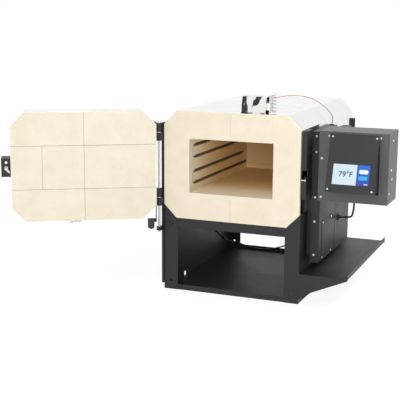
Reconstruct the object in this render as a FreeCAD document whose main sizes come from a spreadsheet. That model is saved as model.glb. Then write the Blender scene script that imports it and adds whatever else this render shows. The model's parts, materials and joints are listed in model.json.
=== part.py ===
import FreeCAD, Part
import math
import os
import Sketcher

# Heat treating oven: an eight-sided firebrick muffle in a polished jacket, on a sheet-steel
# stand, with a side-hung brick door, a side enclosure, a tool shelf and a tilting control panel.
# Millimetres. X points right, Y points to the back, Z points up. The origin is the middle of
# the stand's footprint on the floor. The door and the control panel are drawn shut, then turned
# to where they stand at rest: the door swung open and the panel tilted out.

Vector = FreeCAD.Vector
document = FreeCAD.newDocument("HeatTreatingOven")


class Size:
    """A size: its present value, and the expression that ties it to the sheet."""

    def __init__(self, value, text):
        self.value = value
        self.text = text

    def __add__(self, other):
        other = as_size(other)
        return Size(self.value + other.value, f"({self.text} + {other.text})")

    def __sub__(self, other):
        other = as_size(other)
        return Size(self.value - other.value, f"({self.text} - {other.text})")

    def __mul__(self, other):
        other = as_size(other)
        return Size(self.value * other.value, f"({self.text} * {other.text})")

    def __truediv__(self, other):
        other = as_size(other)
        return Size(self.value / other.value, f"({self.text} / {other.text})")

    def __neg__(self):
        return Size(-self.value, f"(0 - {self.text})")

    def __radd__(self, other):
        return as_size(other) + self

    def __rsub__(self, other):
        return as_size(other) - self

    def __rmul__(self, other):
        return as_size(other) * self


def as_size(number):
    if isinstance(number, Size):
        return number
    return Size(float(number), f"({float(number):.6f})")


DRIVING_SIZES = {
    # Muffle
    "muffle_width": 381.0,
    "muffle_height": 290.0,
    "muffle_chamfer": 36.0,
    "side_brick": 73.0,
    "deck_brick": 72.0,
    "course_length": 228.5,
    "rear_brick": 76.0,
    "lower_row": 86.0,
    "upper_row": 88.0,
    # Heating elements and their grooves
    "outer_run": 51.5,
    "inner_run": 19.5,
    "coil_diameter": 8.0,
    "coil_clearance": 0.5,
    "coil_to_floor": 0.9,
    "coil_recess": 0.6,
    "groove_end": 26.0,
    "element_wire": 3.0,
    "wire_clearance": 0.5,
    "bushing_diameter": 12.0,
    "element_tail": 24.0,
    # Jacket and rear cover
    "jacket_sheet": 1.0,
    "jacket_setback": 5.0,
    "jacket_overhang": 2.0,
    "seam_gap": 0.8,
    "cover_sheet": 1.5,
    "rear_cover_overhang": 10.5,
    "rear_cover_height": 174.0,
    "rear_box_inset": 40.5,
    "rear_box_height": 130.0,
    "rear_box_depth": 32.0,
    # Stand
    "stand_height": 203.0,
    "stand_depth": 502.0,
    "stand_sheet": 2.0,
    "brick_proud": 3.0,
    "leg_width": 40.0,
    "rail_height": 25.0,
    "rail_flange": 30.0,
    "floor_lip": 15.0,
    "leg_hole": 6.0,
    "leg_hole_height": 25.0,
    "notch_length": 15.0,
    "notch_height": 13.0,
    # Shelf
    "shelf_height": 81.6,
    "shelf_width": 130.0,
    "shelf_depth": 458.0,
    "shelf_lip": 11.0,
    "shelf_flange": 20.0,
    # Hinge
    "hinge_side": 9.4,
    "hinge_forward": 13.4,
    "rod_diameter": 6.4,
    "running_clearance": 0.05,
    "barrel_diameter": 14.0,
    "bracket_height": 22.0,
    "knuckle_height": 24.0,
    "washer_thickness": 1.5,
    "upper_hinge": 210.0,
    "lower_hinge": 33.0,
    "post_thickness": 6.3,
    "post_depth": 28.0,
    "post_top": 257.0,
    "post_bottom": 16.0,
    # Door
    "door_brick": 62.0,
    "door_gap": 0.6,
    "band_sheet": 1.5,
    "band_setback": 4.0,
    "door_open": 148.9,
    # Latch
    "latch_side": 13.0,
    "latch_level": 145.0,
    "latch_shaft": 6.0,
    "finger_length": 11.5,
    "finger_angle": 127.7,
    "latch_post_width": 14.0,
    "latch_post_depth": 52.0,
    "latch_notch": 16.0,
    # Side enclosure
    "enclosure_gap": 14.0,
    "enclosure_depth": 23.0,
    "enclosure_front": 55.0,
    "enclosure_length": 162.0,
    "enclosure_top": 248.5,
    "enclosure_bottom": 103.0,
    "relay_box_length": 158.0,
    "relay_box_top": 433.0,
    # Control box and tilting panel
    "control_width": 180.0,
    "control_height": 181.0,
    "control_depth": 109.0,
    "control_bottom": 276.0,
    "control_front": 33.3,
    "control_lip": 25.0,
    "panel_width": 124.5,
    "panel_height": 148.6,
    "panel_side_margin": 31.5,
    "panel_top_margin": 6.7,
    "panel_proud": 7.0,
    "panel_wedge": 46.0,
    "panel_tilt": 18.3,
    "pivot_diameter": 3.0,
    "screen_width": 95.0,
    "screen_height": 54.0,
    "screen_drop": 75.0,
    # Thermocouple
    "cover_left": 18.0,
    "cover_width": 66.0,
    "cover_front": 30.0,
    "cover_depth": 32.0,
    "cover_height": 42.0,
    "probe_diameter": 8.0,
    # Door switch
    "switch_side": 13.0,
    "switch_level": 184.0,
    "switch_bezel": 16.0,
    "plunger_diameter": 8.0,
    "plunger_travel": 4.0,
    # Cords
    "thermocouple_wire": 2.2,
    "supply_cable": 5.5,
    "switch_cable": 4.6,
}


class Sheet:
    """The spreadsheet of driving sizes; each size is also an attribute of this object."""

    def __init__(self, sizes):
        cells = document.addObject("Spreadsheet::Sheet", "Sizes")
        for row, (alias, value) in enumerate(sizes.items(), start=1):
            cells.set(f"A{row}", alias.replace("_", " "))
            cells.set(f"B{row}", str(value))
            cells.setAlias(f"B{row}", alias)
            setattr(self, alias, Size(value, f"Sizes.{alias}"))
        document.recompute()


d = Sheet(DRIVING_SIZES)

# Places worked out from the driving sizes
FRONT = -(d.stand_depth / 2 + d.brick_proud)
MUFFLE_BASE = d.stand_height
HALF_WIDTH = d.muffle_width / 2
CHAMBER_HALF = HALF_WIDTH - d.side_brick
CHAMBER_FLOOR = MUFFLE_BASE + d.deck_brick
CHAMBER_ROOF = MUFFLE_BASE + d.muffle_height - d.deck_brick
CHAMBER_MIDDLE = MUFFLE_BASE + d.muffle_height / 2
GROOVE_HEIGHT = d.coil_diameter + d.coil_clearance * 2
GROOVE_DEPTH = d.coil_recess + d.coil_diameter + d.coil_to_floor
CHAMBER_BACK = FRONT + d.course_length * 2
BRICK_BACK = CHAMBER_BACK + d.rear_brick
JACKET_BACK = BRICK_BACK + d.jacket_overhang
TOP = MUFFLE_BASE + d.muffle_height + d.jacket_sheet
STAND_FRONT = -(d.stand_depth / 2)
STAND_BACK = d.stand_depth / 2
STAND_HALF = HALF_WIDTH + d.jacket_sheet + 0.5
HINGE_X = -(HALF_WIDTH + d.hinge_side)
HINGE_Y = FRONT - d.hinge_forward
ENCLOSURE_LEFT = STAND_HALF + d.enclosure_gap
ENCLOSURE_RIGHT = ENCLOSURE_LEFT + d.enclosure_depth
ENCLOSURE_FRONT = FRONT + d.enclosure_front
CONTROL_FRONT = FRONT + d.control_front
CONTROL_LEFT = ENCLOSURE_RIGHT
RELAY_FRONT = ENCLOSURE_FRONT + d.enclosure_length
PROBE_X = d.cover_left + d.cover_width - 18
PROBE_Y = FRONT + d.cover_front + d.cover_depth / 2
SWITCH_X = -HALF_WIDTH + d.switch_side
SLOPE = math.sqrt(2.0)

# Small clearances and bores that two pieces share
PROBE_CLEARANCE = 1.0
BUSHING_CLEARANCE = 0.6
SWITCH_BARREL = 12.0
HOLE_CLEARANCE = 0.2

# Where the cords' fittings sit, and how far each stands out
RELIEF_Y = RELAY_FRONT + 31
RELIEF_Z = d.enclosure_bottom + 87
RELIEF_HOLE = 8.6
RELIEF_LENGTH = 10.0
GLAND_X = CONTROL_LEFT + 73.6
GLAND_Y = CONTROL_FRONT + 96.5
GLAND_THREAD = 8.0
GLAND_LENGTH = 6.5
SEAL_X = ENCLOSURE_RIGHT - 14
SEAL_Y = ENCLOSURE_FRONT + d.enclosure_length - 9
SEAL_HOLE = 10.0
SEAL_HEIGHT = 2.0
GROMMET_Y = STAND_BACK - 30
GROMMET_Z = 101.0
GROMMET_BARREL = 9.0
GROMMET_LENGTH = 2.0

ORIGIN_SIGN = {"XY_Plane": 1, "YZ_Plane": 1, "XZ_Plane": -1}
made = []


def number(size):
    return size.value if isinstance(size, Size) else float(size)


def bind(item, path, size):
    """Set a property and tie it to the sheet."""
    if isinstance(size, Size):
        item.setExpression(path, size.text)
    else:
        item.setExpression(path, f"{float(size):.6f}")


def plane_of(body, role):
    for feature in body.Origin.OriginFeatures:
        if feature.Role == role:
            return feature
    raise ValueError(role)


def new_body(label):
    body = document.addObject("PartDesign::Body", label)
    body.Label = label
    made.append(body)
    return body


def new_sketch(body, plane, level):
    """An empty sketch parallel to one of the body's own planes, at the given level."""
    sketch = body.newObject("Sketcher::SketchObject", f"{body.Name}Sketch")
    sketch.AttachmentSupport = [(plane_of(body, plane), "")]
    sketch.MapMode = "FlatFace"
    bind(sketch, "AttachmentOffset.Base.z", as_size(level) * ORIGIN_SIGN[plane])
    return sketch


def hold(sketch, kind, geometry, point, size):
    index = sketch.addConstraint(
        Sketcher.Constraint(kind, -1, 1, geometry, point, number(size)))
    if isinstance(size, Size):
        sketch.setExpression(f"Constraints[{index}]", size.text)


def add_outline(sketch, corners):
    """A closed outline; each corner is held by its two distances from the sketch's origin."""
    first = sketch.GeometryCount
    count = len(corners)
    points = [Vector(number(x), number(y), 0) for x, y in corners]
    for k in range(count):
        sketch.addGeometry(Part.LineSegment(points[k], points[(k + 1) % count]), False)
    for k in range(count):
        following = first + (k + 1) % count
        sketch.addConstraint(Sketcher.Constraint("Coincident", first + k, 2, following, 1))
    for k, (x, y) in enumerate(corners):
        hold(sketch, "DistanceX", first + k, 1, x)
        hold(sketch, "DistanceY", first + k, 1, y)


def add_circle(sketch, x, y, diameter):
    centre = Vector(number(x), number(y), 0)
    circle = sketch.addGeometry(Part.Circle(centre, Vector(0, 0, 1), number(diameter) / 2), False)
    hold(sketch, "DistanceX", circle, 3, x)
    hold(sketch, "DistanceY", circle, 3, y)
    index = sketch.addConstraint(Sketcher.Constraint("Diameter", circle, number(diameter)))
    if isinstance(diameter, Size):
        sketch.setExpression(f"Constraints[{index}]", diameter.text)


def rectangle(x0, y0, x1, y1):
    return [(x0, y0), (x1, y0), (x1, y1), (x0, y1)]


def profile(body, plane, level, outlines=(), circles=()):
    sketch = new_sketch(body, plane, level)
    for outline in outlines:
        add_outline(sketch, outline)
    for x, y, diameter in circles:
        add_circle(sketch, x, y, diameter)
    return sketch


def pad(body, plane, level, length, outlines=(), circles=()):
    """Material from the level towards the plane's positive axis."""
    sketch = profile(body, plane, level, outlines, circles)
    feature = body.newObject("PartDesign::Pad", f"{body.Name}Pad")
    feature.Profile = sketch
    bind(feature, "Length", length)
    feature.Reversed = plane == "XZ_Plane"
    return feature


def pocket(body, plane, level, length, outlines=(), circles=()):
    """A cut from the level towards the plane's positive axis."""
    document.recompute()
    before = body.Shape.Volume
    sketch = profile(body, plane, level, outlines, circles)
    feature = body.newObject("PartDesign::Pocket", f"{body.Name}Pocket")
    feature.Profile = sketch
    bind(feature, "Length", length)
    feature.Reversed = plane != "XZ_Plane"
    document.recompute()
    if body.Shape.Volume >= before - 1e-3:
        raise ValueError(f"{feature.Name} cuts nothing")
    return feature


def turn(body, corners):
    """A solid of revolution about the body's Z axis; corners are radius and height."""
    sketch = profile(body, "XZ_Plane", 0, [corners])
    feature = body.newObject("PartDesign::Revolution", f"{body.Name}Turned")
    feature.Profile = sketch
    feature.ReferenceAxis = (sketch, ["V_Axis"])
    feature.Angle = 360.0
    return feature


def round_edges(body, radius, chosen):
    """Fillet the edges of the body for which chosen(edge) is true."""
    document.recompute()
    tip = body.Tip
    names = [f"Edge{k + 1}" for k, edge in enumerate(tip.Shape.Edges) if chosen(edge)]
    if not names:
        raise ValueError(f"no edge to round on {body.Label}")
    feature = body.newObject("PartDesign::Fillet", f"{body.Name}Fillet")
    feature.Base = (tip, names)
    bind(feature, "Radius", radius)
    return feature


def runs_along(edge, axis, length_over=0.0):
    """True for a straight edge parallel to the axis and longer than the given length."""
    if len(edge.Vertexes) != 2 or edge.Curve.TypeId != "Part::GeomLine":
        return False
    span = edge.Vertexes[1].Point - edge.Vertexes[0].Point
    return span.Length > length_over and abs(abs(span.normalize().dot(axis)) - 1) < 1e-6


def place(item, x, y, z, axis=Vector(0, 0, 1), angle=0.0):
    item.Placement = FreeCAD.Placement(Vector(0, 0, 0), FreeCAD.Rotation(axis, angle))
    bind(item, "Placement.Base.x", x)
    bind(item, "Placement.Base.y", y)
    bind(item, "Placement.Base.z", z)


def shape_part(label, shape):
    """A part whose shape is set from Part's own functions, sized from the sheet."""
    item = document.addObject("Part::Feature", label)
    item.Label = label
    item.Shape = shape
    made.append(item)
    return item


def group_of(label, bodies):
    """Several like pieces of one sub-part, kept as separate solids."""
    document.recompute()
    group = document.addObject("Part::Compound", label)
    group.Label = label
    group.Links = bodies
    made.append(group)
    return group


def swing_open(item):
    """Turn a piece of the shut door about the hinge rod to where the door stands open."""
    centre = Vector(HINGE_X.value, HINGE_Y.value, 0)
    turned = FreeCAD.Placement(
        Vector(0, 0, 0), FreeCAD.Rotation(Vector(0, 0, 1), -d.door_open.value), centre)
    item.Placement = turned.multiply(item.Placement)


def tilt_out(item):
    """Turn a piece of the shut control panel about its pivot to where the panel stands."""
    centre = Vector(0, PIVOT_Y.value, PIVOT_Z.value)
    turned = FreeCAD.Placement(
        Vector(0, 0, 0), FreeCAD.Rotation(Vector(1, 0, 0), -d.panel_tilt.value), centre)
    item.Placement = turned.multiply(item.Placement)


def octagon(grow=0.0):
    """The muffle's section in X and Z, grown outwards all round by the given amount."""
    side = HALF_WIDTH + grow
    low = MUFFLE_BASE - grow
    high = MUFFLE_BASE + d.muffle_height + grow
    cut = d.muffle_chamfer + as_size(grow) * (2 - SLOPE)
    return [
        (-side + cut, low), (side - cut, low), (side, low + cut), (side, high - cut),
        (side - cut, high), (-side + cut, high), (-side, high - cut), (-side, low + cut)]


def tube_along(points, radius, label):
    """A round cord: straight runs joined by tangent arcs as large as the runs allow."""
    points = [Vector(*point) for point in points]
    edges = []
    start = points[0]
    length = 0.0
    for before, corner, after in zip(points, points[1:], points[2:]):
        arriving = corner - before
        leaving = after - corner
        turn_angle = arriving.getAngle(leaving)
        reach = 0.45 * min(arriving.Length, leaving.Length)
        bend = reach / math.tan(turn_angle / 2)
        enter = corner - Vector(arriving).normalize() * reach
        leave = corner + Vector(leaving).normalize() * reach
        inward = (Vector(leaving).normalize() - Vector(arriving).normalize()).normalize()
        middle = corner + inward * (bend / math.cos(turn_angle / 2) - bend)
        edges.append(Part.LineSegment(start, enter).toShape())
        edges.append(Part.Arc(enter, middle, leave).toShape())
        length += (enter - start).Length + bend * turn_angle
        start = leave
        print(f"{label}: bend radius {bend:.1f}")
    edges.append(Part.LineSegment(start, points[-1]).toShape())
    length += (points[-1] - start).Length
    path = Part.Wire(edges)
    ring = Part.Wire([Part.Circle(points[0], points[1] - points[0], radius).toShape()])
    tube = path.makePipeShell([ring], True, False)
    expected = math.pi * radius ** 2 * length
    print(f"{label}: length {length:.1f}, volume against section times length "
          f"{tube.Volume / expected:.4f}")
    return tube


def cylinder(diameter, start, direction, length):
    return Part.makeCylinder(number(diameter) / 2, number(length), Vector(*start), Vector(*direction))


def box(x0, x1, y0, y1, z0, z1):
    x0, x1, y0, y1, z0, z1 = (number(value) for value in (x0, x1, y0, y1, z0, z1))
    return Part.makeBox(x1 - x0, y1 - y0, z1 - z0, Vector(x0, y0, z0))


# Muffle

def make_deck_bricks(label, base, chamfer_below, hole=None):
    """The floor or roof: two courses of two halves, each half with its outer corner cut off."""
    top = base + d.deck_brick
    cut = d.muffle_chamfer
    solids = []
    for course in range(2):
        y0 = FRONT + d.course_length * course
        for side in (-1, 1):
            if chamfer_below:
                corners = [(0, base), (HALF_WIDTH - cut, base), (HALF_WIDTH, base + cut), (HALF_WIDTH, top),
                           (0, top)]
            else:
                corners = [(0, base), (HALF_WIDTH, base), (HALF_WIDTH, top - cut), (HALF_WIDTH - cut, top),
                           (0, top)]
            points = [Vector(side * number(x), y0.value, number(z)) for x, z in corners]
            face = Part.Face(Part.makePolygon(points + points[:1]))
            solid = face.extrude(Vector(0, d.course_length.value, 0))
            solids.append(solid.cut(hole) if hole else solid)
    return shape_part(label, Part.makeCompound(solids))


def serpentine(side):
    """The element's route in a side wall: four runs, with bends at the front, rear and front."""
    x = number(CHAMBER_HALF + d.coil_recess + d.coil_diameter / 2) * side
    front = number(FRONT + d.groove_end)
    rear = number(CHAMBER_BACK - d.groove_end)
    middle = CHAMBER_MIDDLE.value
    high = d.outer_run.value
    low = d.inner_run.value
    tail = number(BRICK_BACK + d.element_tail)
    return [
        (x, tail, middle + high), (x, front, middle + high), (x, front, middle + low),
        (x, rear, middle + low), (x, rear, middle - low), (x, front, middle - low),
        (x, front, middle - high), (x, tail, middle - high)]


def rounded_path(points, radius):
    """A wire through the points, each inner corner rounded to the radius."""
    points = [Vector(*point) for point in points]
    edges = []
    start = points[0]
    for before, corner, after in zip(points, points[1:], points[2:]):
        arriving = (corner - before).normalize()
        leaving = (after - corner).normalize()
        enter = corner - arriving * radius
        leave = corner + leaving * radius
        middle = corner + (leaving - arriving) * (radius * (1 - math.sqrt(0.5)))
        edges.append(Part.LineSegment(start, enter).toShape())
        edges.append(Part.Arc(enter, middle, leave).toShape())
        start = leave
    edges.append(Part.LineSegment(start, points[-1]).toShape())
    return Part.Wire(edges)


def run_levels():
    middle = CHAMBER_MIDDLE.value
    return [middle + d.outer_run.value, middle + d.inner_run.value,
            middle - d.inner_run.value, middle - d.outer_run.value]


LINK_BEND = 8.0


def coil_span(level_index):
    """Front and rear ends of the coiled stretch of one run."""
    front = number(FRONT + d.groove_end) + LINK_BEND + 4
    rear = number(CHAMBER_BACK - d.groove_end) - LINK_BEND - 4
    if level_index in (0, 3):
        rear = CHAMBER_BACK.value - 1.0
    return front, rear


def make_wall_bricks(label, side):
    """One side wall: two bricks with the element's grooves cut into their chamber face."""
    face_x = CHAMBER_HALF.value
    bottom = face_x + GROOVE_DEPTH.value
    path = rounded_path(serpentine(side), LINK_BEND)
    start = path.Edges[0].Vertexes[0].Point
    width = d.element_wire.value + 2 * d.wire_clearance.value
    link_section = Part.makePolygon([
        start + Vector(side * -20, 0, -width / 2), start + Vector(side * 3, 0, -width / 2),
        start + Vector(side * 3, 0, width / 2), start + Vector(side * -20, 0, width / 2),
        start + Vector(side * -20, 0, -width / 2)])
    cutter = path.makePipeShell([link_section], True, True)
    cutters = [cutter]
    half = GROOVE_HEIGHT.value / 2
    for index, level in enumerate(run_levels()):
        front, rear = coil_span(index)
        x0, x1 = sorted((side * (face_x - 1), side * bottom))
        rear_end = rear + (10 if index in (0, 3) else 0)
        cutters.append(box(x0, x1, front - 1, rear_end, level - half, level + half))
    solids = []
    for course in range(2):
        y0 = number(FRONT + d.course_length * course)
        x0, x1 = sorted((side * face_x, side * HALF_WIDTH.value))
        brick = box(x0, x1, y0, y0 + d.course_length.value, CHAMBER_FLOOR, CHAMBER_ROOF)
        for each in cutters:
            brick = brick.cut(each)
        solids.append(brick)
    return shape_part(label, Part.makeCompound(solids))


def make_element(label, side):
    """A resistance element: wire bent to the serpentine, coiled along its straight runs."""
    x = serpentine(side)[0][0]
    path = rounded_path(serpentine(side), LINK_BEND)
    first, second = (Vector(*point) for point in serpentine(side)[:2])
    ring = Part.Wire([Part.Circle(first, second - first, d.element_wire.value / 2).toShape()])
    shape = path.makePipeShell([ring], True, False)
    for index, level in enumerate(run_levels()):
        front, rear = coil_span(index)
        coil = cylinder(d.coil_diameter, (x, front, level), (0, 1, 0), rear - front)
        shape = shape.fuse(coil)
    return shape_part(label, shape.removeSplitter())


def slab_rows():
    """Heights of the two level joints in the rear wall and the door."""
    return MUFFLE_BASE + d.lower_row, MUFFLE_BASE + d.muffle_height - d.upper_row


def octagon_face(y):
    points = [Vector(number(x), y, number(z)) for x, z in octagon()]
    return Part.Face(Part.makePolygon(points + points[:1]))


def split_slab(y0, thickness, extra_joint=None):
    """An eight-sided slab cut into rows of bricks, with a joint in the middle of each row."""
    slab = octagon_face(number(y0)).extrude(Vector(0, number(thickness), 0))
    lower, upper = slab_rows()
    low = number(MUFFLE_BASE) - 1
    high = number(MUFFLE_BASE + d.muffle_height) + 1
    rows = [(low, lower.value), (lower.value, upper.value), (upper.value, high)]
    solids = []
    for row, (z0, z1) in enumerate(rows):
        joints = [-HALF_WIDTH.value - 1, 0.0, HALF_WIDTH.value + 1]
        if row == 1 and extra_joint is not None:
            joints.insert(2, extra_joint)
        for x0, x1 in zip(joints, joints[1:]):
            piece = box(x0, x1, number(y0) - 1, number(y0) + number(thickness) + 1, z0, z1)
            solids.append(slab.common(piece))
    return solids


def bushing_places():
    """The four element tails where they pass through the rear wall."""
    x = serpentine(1)[0][0]
    high, low = run_levels()[0], run_levels()[3]
    return [(side * x, level) for side in (-1, 1) for level in (high, low)]


def make_rear_bricks():
    solids = split_slab(CHAMBER_BACK, d.rear_brick)
    holes = [cylinder(d.bushing_diameter + BUSHING_CLEARANCE, (x, CHAMBER_BACK.value + 12, z), (0, 1, 0), 100)
             for x, z in bushing_places()]
    holes += [cylinder(d.element_wire + 1, (x, CHAMBER_BACK.value - 1, z), (0, 1, 0), 20)
              for x, z in bushing_places()]
    for hole in holes:
        solids = [solid.cut(hole) for solid in solids]
    return shape_part("rear_wall_bricks", Part.makeCompound(solids))


def make_bushings():
    """Ceramic sleeves that carry the element tails out through the rear wall and its panel."""
    start = CHAMBER_BACK.value + 12
    length = number(JACKET_BACK + d.jacket_sheet) + 6 - start
    solids = []
    for x, z in bushing_places():
        sleeve = cylinder(d.bushing_diameter, (x, start, z), (0, 1, 0), length)
        solids.append(sleeve.cut(cylinder(d.element_wire + 0.6, (x, start - 1, z), (0, 1, 0), length + 2)))
    return shape_part("element_bushings", Part.makeCompound(solids))


def make_terminals():
    """A brass connector clamped on each element tail, inside the rear cover."""
    start = number(JACKET_BACK + d.jacket_sheet) + 8
    end = number(BRICK_BACK + d.element_tail)
    solids = []
    for x, z in bushing_places():
        block = box(x - 6, x + 6, start, end - 1, z - 6, z + 6)
        solids.append(block.cut(cylinder(d.element_wire + 0.1, (x, start - 1, z), (0, 1, 0), 40)))
    return shape_part("element_terminals", Part.makeCompound(solids))


# Jacket, rear cover and thermocouple

def make_jacket(label, start, end, probe_hole=False):
    """An eight-sided sleeve of thin polished sheet, wrapped close round the bricks."""
    body = new_body(label)
    pad(body, "XZ_Plane", start, end - start, [octagon(d.jacket_sheet), octagon()])
    if probe_hole:
        pocket(body, "XY_Plane", TOP - 20, 30, [], [(PROBE_X, PROBE_Y, d.probe_diameter + PROBE_CLEARANCE)])
    return body


def make_rear_panel():
    body = new_body("rear_panel")
    pad(body, "XZ_Plane", JACKET_BACK, d.jacket_sheet, [octagon(d.jacket_sheet)],
        [(x, z, d.bushing_diameter + BUSHING_CLEARANCE) for x, z in bushing_places()])
    return body


def make_rear_cover():
    """A flanged box over the element terminals, with slots that let warm air out."""
    body = new_body("rear_cover")
    start = JACKET_BACK + d.jacket_sheet
    middle = CHAMBER_MIDDLE
    half = HALF_WIDTH + d.rear_cover_overhang
    inner = HALF_WIDTH - d.rear_box_inset
    tall = d.rear_cover_height / 2
    inner_tall = d.rear_box_height / 2
    wall = d.cover_sheet
    pad(body, "XZ_Plane", start, wall, [
        rectangle(-half, middle - tall, half, middle + tall),
        rectangle(-inner + wall, middle - inner_tall + wall, inner - wall, middle + inner_tall - wall)])
    pad(body, "XZ_Plane", start + wall, d.rear_box_depth - wall * 2, [
        rectangle(-inner, middle - inner_tall, inner, middle + inner_tall),
        rectangle(-inner + wall, middle - inner_tall + wall, inner - wall, middle + inner_tall - wall)])
    pad(body, "XZ_Plane", start + d.rear_box_depth - wall, wall, [
        rectangle(-inner, middle - inner_tall, inner, middle + inner_tall)])
    slots = []
    for column in range(-3, 4):
        x = as_size(column * 36.0)
        slots.append(rectangle(x - 12, middle + inner_tall - 24, x + 12, middle + inner_tall - 20))
        slots.append(rectangle(x - 12, middle + inner_tall - 34, x + 12, middle + inner_tall - 30))
    pocket(body, "XZ_Plane", start + d.rear_box_depth - wall * 2, wall * 3, slots)
    return body


COVER_SHEET = 1.2
CREASE_HEIGHT = 17.0
COVER_FOOT = 8.0
COVER_LEAN = 8.0


def make_thermocouple_cover():
    """A folded guard: feet on the jacket, an upright front, a crease and a leaning upper panel."""
    body = new_body("thermocouple_cover")
    front = FRONT + d.cover_front
    rear = front + d.cover_depth
    t = COVER_SHEET
    crease = TOP + CREASE_HEIGHT
    top = TOP + d.cover_height
    pad(body, "YZ_Plane", d.cover_left, d.cover_width, [[
        (front - COVER_FOOT, TOP), (front + t, TOP), (front + t, crease), (front + COVER_LEAN + t, top - t),
        (rear - t, top - t), (rear - t, TOP), (rear + COVER_FOOT, TOP), (rear + COVER_FOOT, TOP + t),
        (rear, TOP + t), (rear, top), (front + COVER_LEAN, top), (front, crease + 1), (front, TOP + t),
        (front - COVER_FOOT, TOP + t)]])
    right = d.cover_left + d.cover_width
    pad(body, "XZ_Plane", front + COVER_LEAN + 3, d.cover_depth - COVER_LEAN - 6, [[
        (right - 1, top - t), (right + 24, top + 6), (right + 24, top + 6 + t), (right - 1, top)]])
    return body


def make_probe():
    """The thermocouple's ceramic sheath, from its head down through the roof."""
    body = new_body("thermocouple_probe")
    tip = CHAMBER_ROOF - 6
    turn(body, [(0, 0), (d.probe_diameter / 2, 2), (d.probe_diameter / 2, TOP + 8 - tip), (0, TOP + 8 - tip)])
    place(body, PROBE_X, PROBE_Y, tip)
    return body


def make_probe_head():
    """The ceramic head that holds the sheath, its end standing out of the cover."""
    body = new_body("thermocouple_head")
    base = TOP + 8
    half = 9.0
    right = d.cover_left + d.cover_width
    pad(body, "XY_Plane", base, 18, [
        rectangle(PROBE_X - 14, PROBE_Y - half, right + 10, PROBE_Y + half)])
    round_edges(body, 3, lambda edge: runs_along(edge, Vector(0, 0, 1)))
    return body


TERMINAL_LENGTH = 12.4
TERMINAL_LEVELS = (0.0, 9.0, 18.0, 27.0, 35.5)
PLATE = 4.0


def make_probe_terminals():
    """Stacked clamp plates at the end of the head, where the wire's two cores are screwed."""
    left = d.cover_left + d.cover_width + 10
    right = left + TERMINAL_LENGTH
    base = number(TOP) + 3
    plates = [box(left, right, PROBE_Y - 8, PROBE_Y + 8, base + level, base + level + PLATE)
              for level in TERMINAL_LEVELS]
    spine = box(left, left + 4, PROBE_Y - 5, PROBE_Y + 5, base, base + TERMINAL_LEVELS[-1] + 1)
    shape = spine.multiFuse(plates).removeSplitter()
    return shape_part("thermocouple_terminals", shape)


# Stand

def chamfer_line(offset):
    """For the lower left chamfer of the muffle, x + z on a line this far outside the bricks."""
    return -HALF_WIDTH + MUFFLE_BASE + d.muffle_chamfer - as_size(offset) * SLOPE


BEARER_REACH = 27.0
NOTCH_FROM_FRONT = 134.0


def make_side(label, side):
    """One side of the stand: a folded plate with front and rear flanges and a sloped bearer."""
    body = new_body(label)
    t = d.stand_sheet
    outer = STAND_HALF
    line = chamfer_line(d.jacket_sheet)
    under = line - t * SLOPE
    bearer = -outer + t + BEARER_REACH

    def handed(corners):
        return [(x * -side, z) for x, z in corners]

    pad(body, "XZ_Plane", STAND_FRONT, d.stand_depth, [handed([
        (-outer, 0), (-outer + t, 0), (-outer + t, under + outer - t), (bearer, under - bearer),
        (bearer, line - bearer), (-outer, line + outer)])])
    flange = handed([
        (-outer, 0), (-outer + d.leg_width, 0), (-outer + d.leg_width, line + outer - d.leg_width),
        (-outer, line + outer)])
    hole = [((outer - d.leg_width / 2) * side, d.leg_hole_height, d.leg_hole)]
    pad(body, "XZ_Plane", STAND_BACK - t, t, [flange], hole)
    if side < 0:
        hole.append((SWITCH_X, d.switch_level, SWITCH_BARREL + HOLE_CLEARANCE))
    pad(body, "XZ_Plane", STAND_FRONT, t, [flange], hole)
    notch = STAND_FRONT + NOTCH_FROM_FRONT
    if side < 0:
        pocket(body, "YZ_Plane", -outer - 1, t + 2,
               [rectangle(notch, -1, notch + d.notch_length, d.notch_height)])
    else:
        pocket(body, "YZ_Plane", outer - t - 1, t + 2, [],
               [(GROMMET_Y, GROMMET_Z, GROMMET_BARREL + HOLE_CLEARANCE)])
    return body


def make_rail(label, front):
    """A folded cross rail under the muffle, between the legs."""
    body = new_body(label)
    t = d.stand_sheet
    top = MUFFLE_BASE - d.jacket_sheet
    low = top - d.rail_height
    half = STAND_HALF - d.leg_width
    if front:
        face, inside, way = STAND_FRONT, STAND_FRONT + t, 1
    else:
        face, inside, way = STAND_BACK, STAND_BACK - t, -1
    pad(body, "YZ_Plane", -half, half * 2, [[
        (face, low), (inside + 14 * way, low), (inside + 14 * way, low + t), (inside, low + t),
        (inside, top - t), (inside + d.rail_flange * way, top - t), (inside + d.rail_flange * way, top),
        (face, top)]])
    return body


def make_floor_plate():
    """The storage tray at the foot of the stand, with a lip front and back."""
    body = new_body("floor_plate")
    t = d.stand_sheet
    half = STAND_HALF - t
    y0 = STAND_FRONT + t
    y1 = STAND_BACK - t
    pad(body, "YZ_Plane", -half, half * 2, [[
        (y0, 0), (y1, 0), (y1, d.floor_lip), (y1 - t, d.floor_lip), (y1 - t, t), (y0 + t, t),
        (y0 + t, d.floor_lip), (y0, d.floor_lip)]])
    return body


def make_rail_plate():
    """A plain badge-sized plate on the front rail."""
    body = new_body("rail_plate")
    middle = MUFFLE_BASE - d.jacket_sheet - d.rail_height / 2
    pad(body, "XZ_Plane", STAND_FRONT - 1.2, 1.2, [rectangle(92, middle - 8, 134, middle + 8)])
    round_edges(body, 2, lambda edge: runs_along(edge, Vector(0, 1, 0)))
    return body


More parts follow.
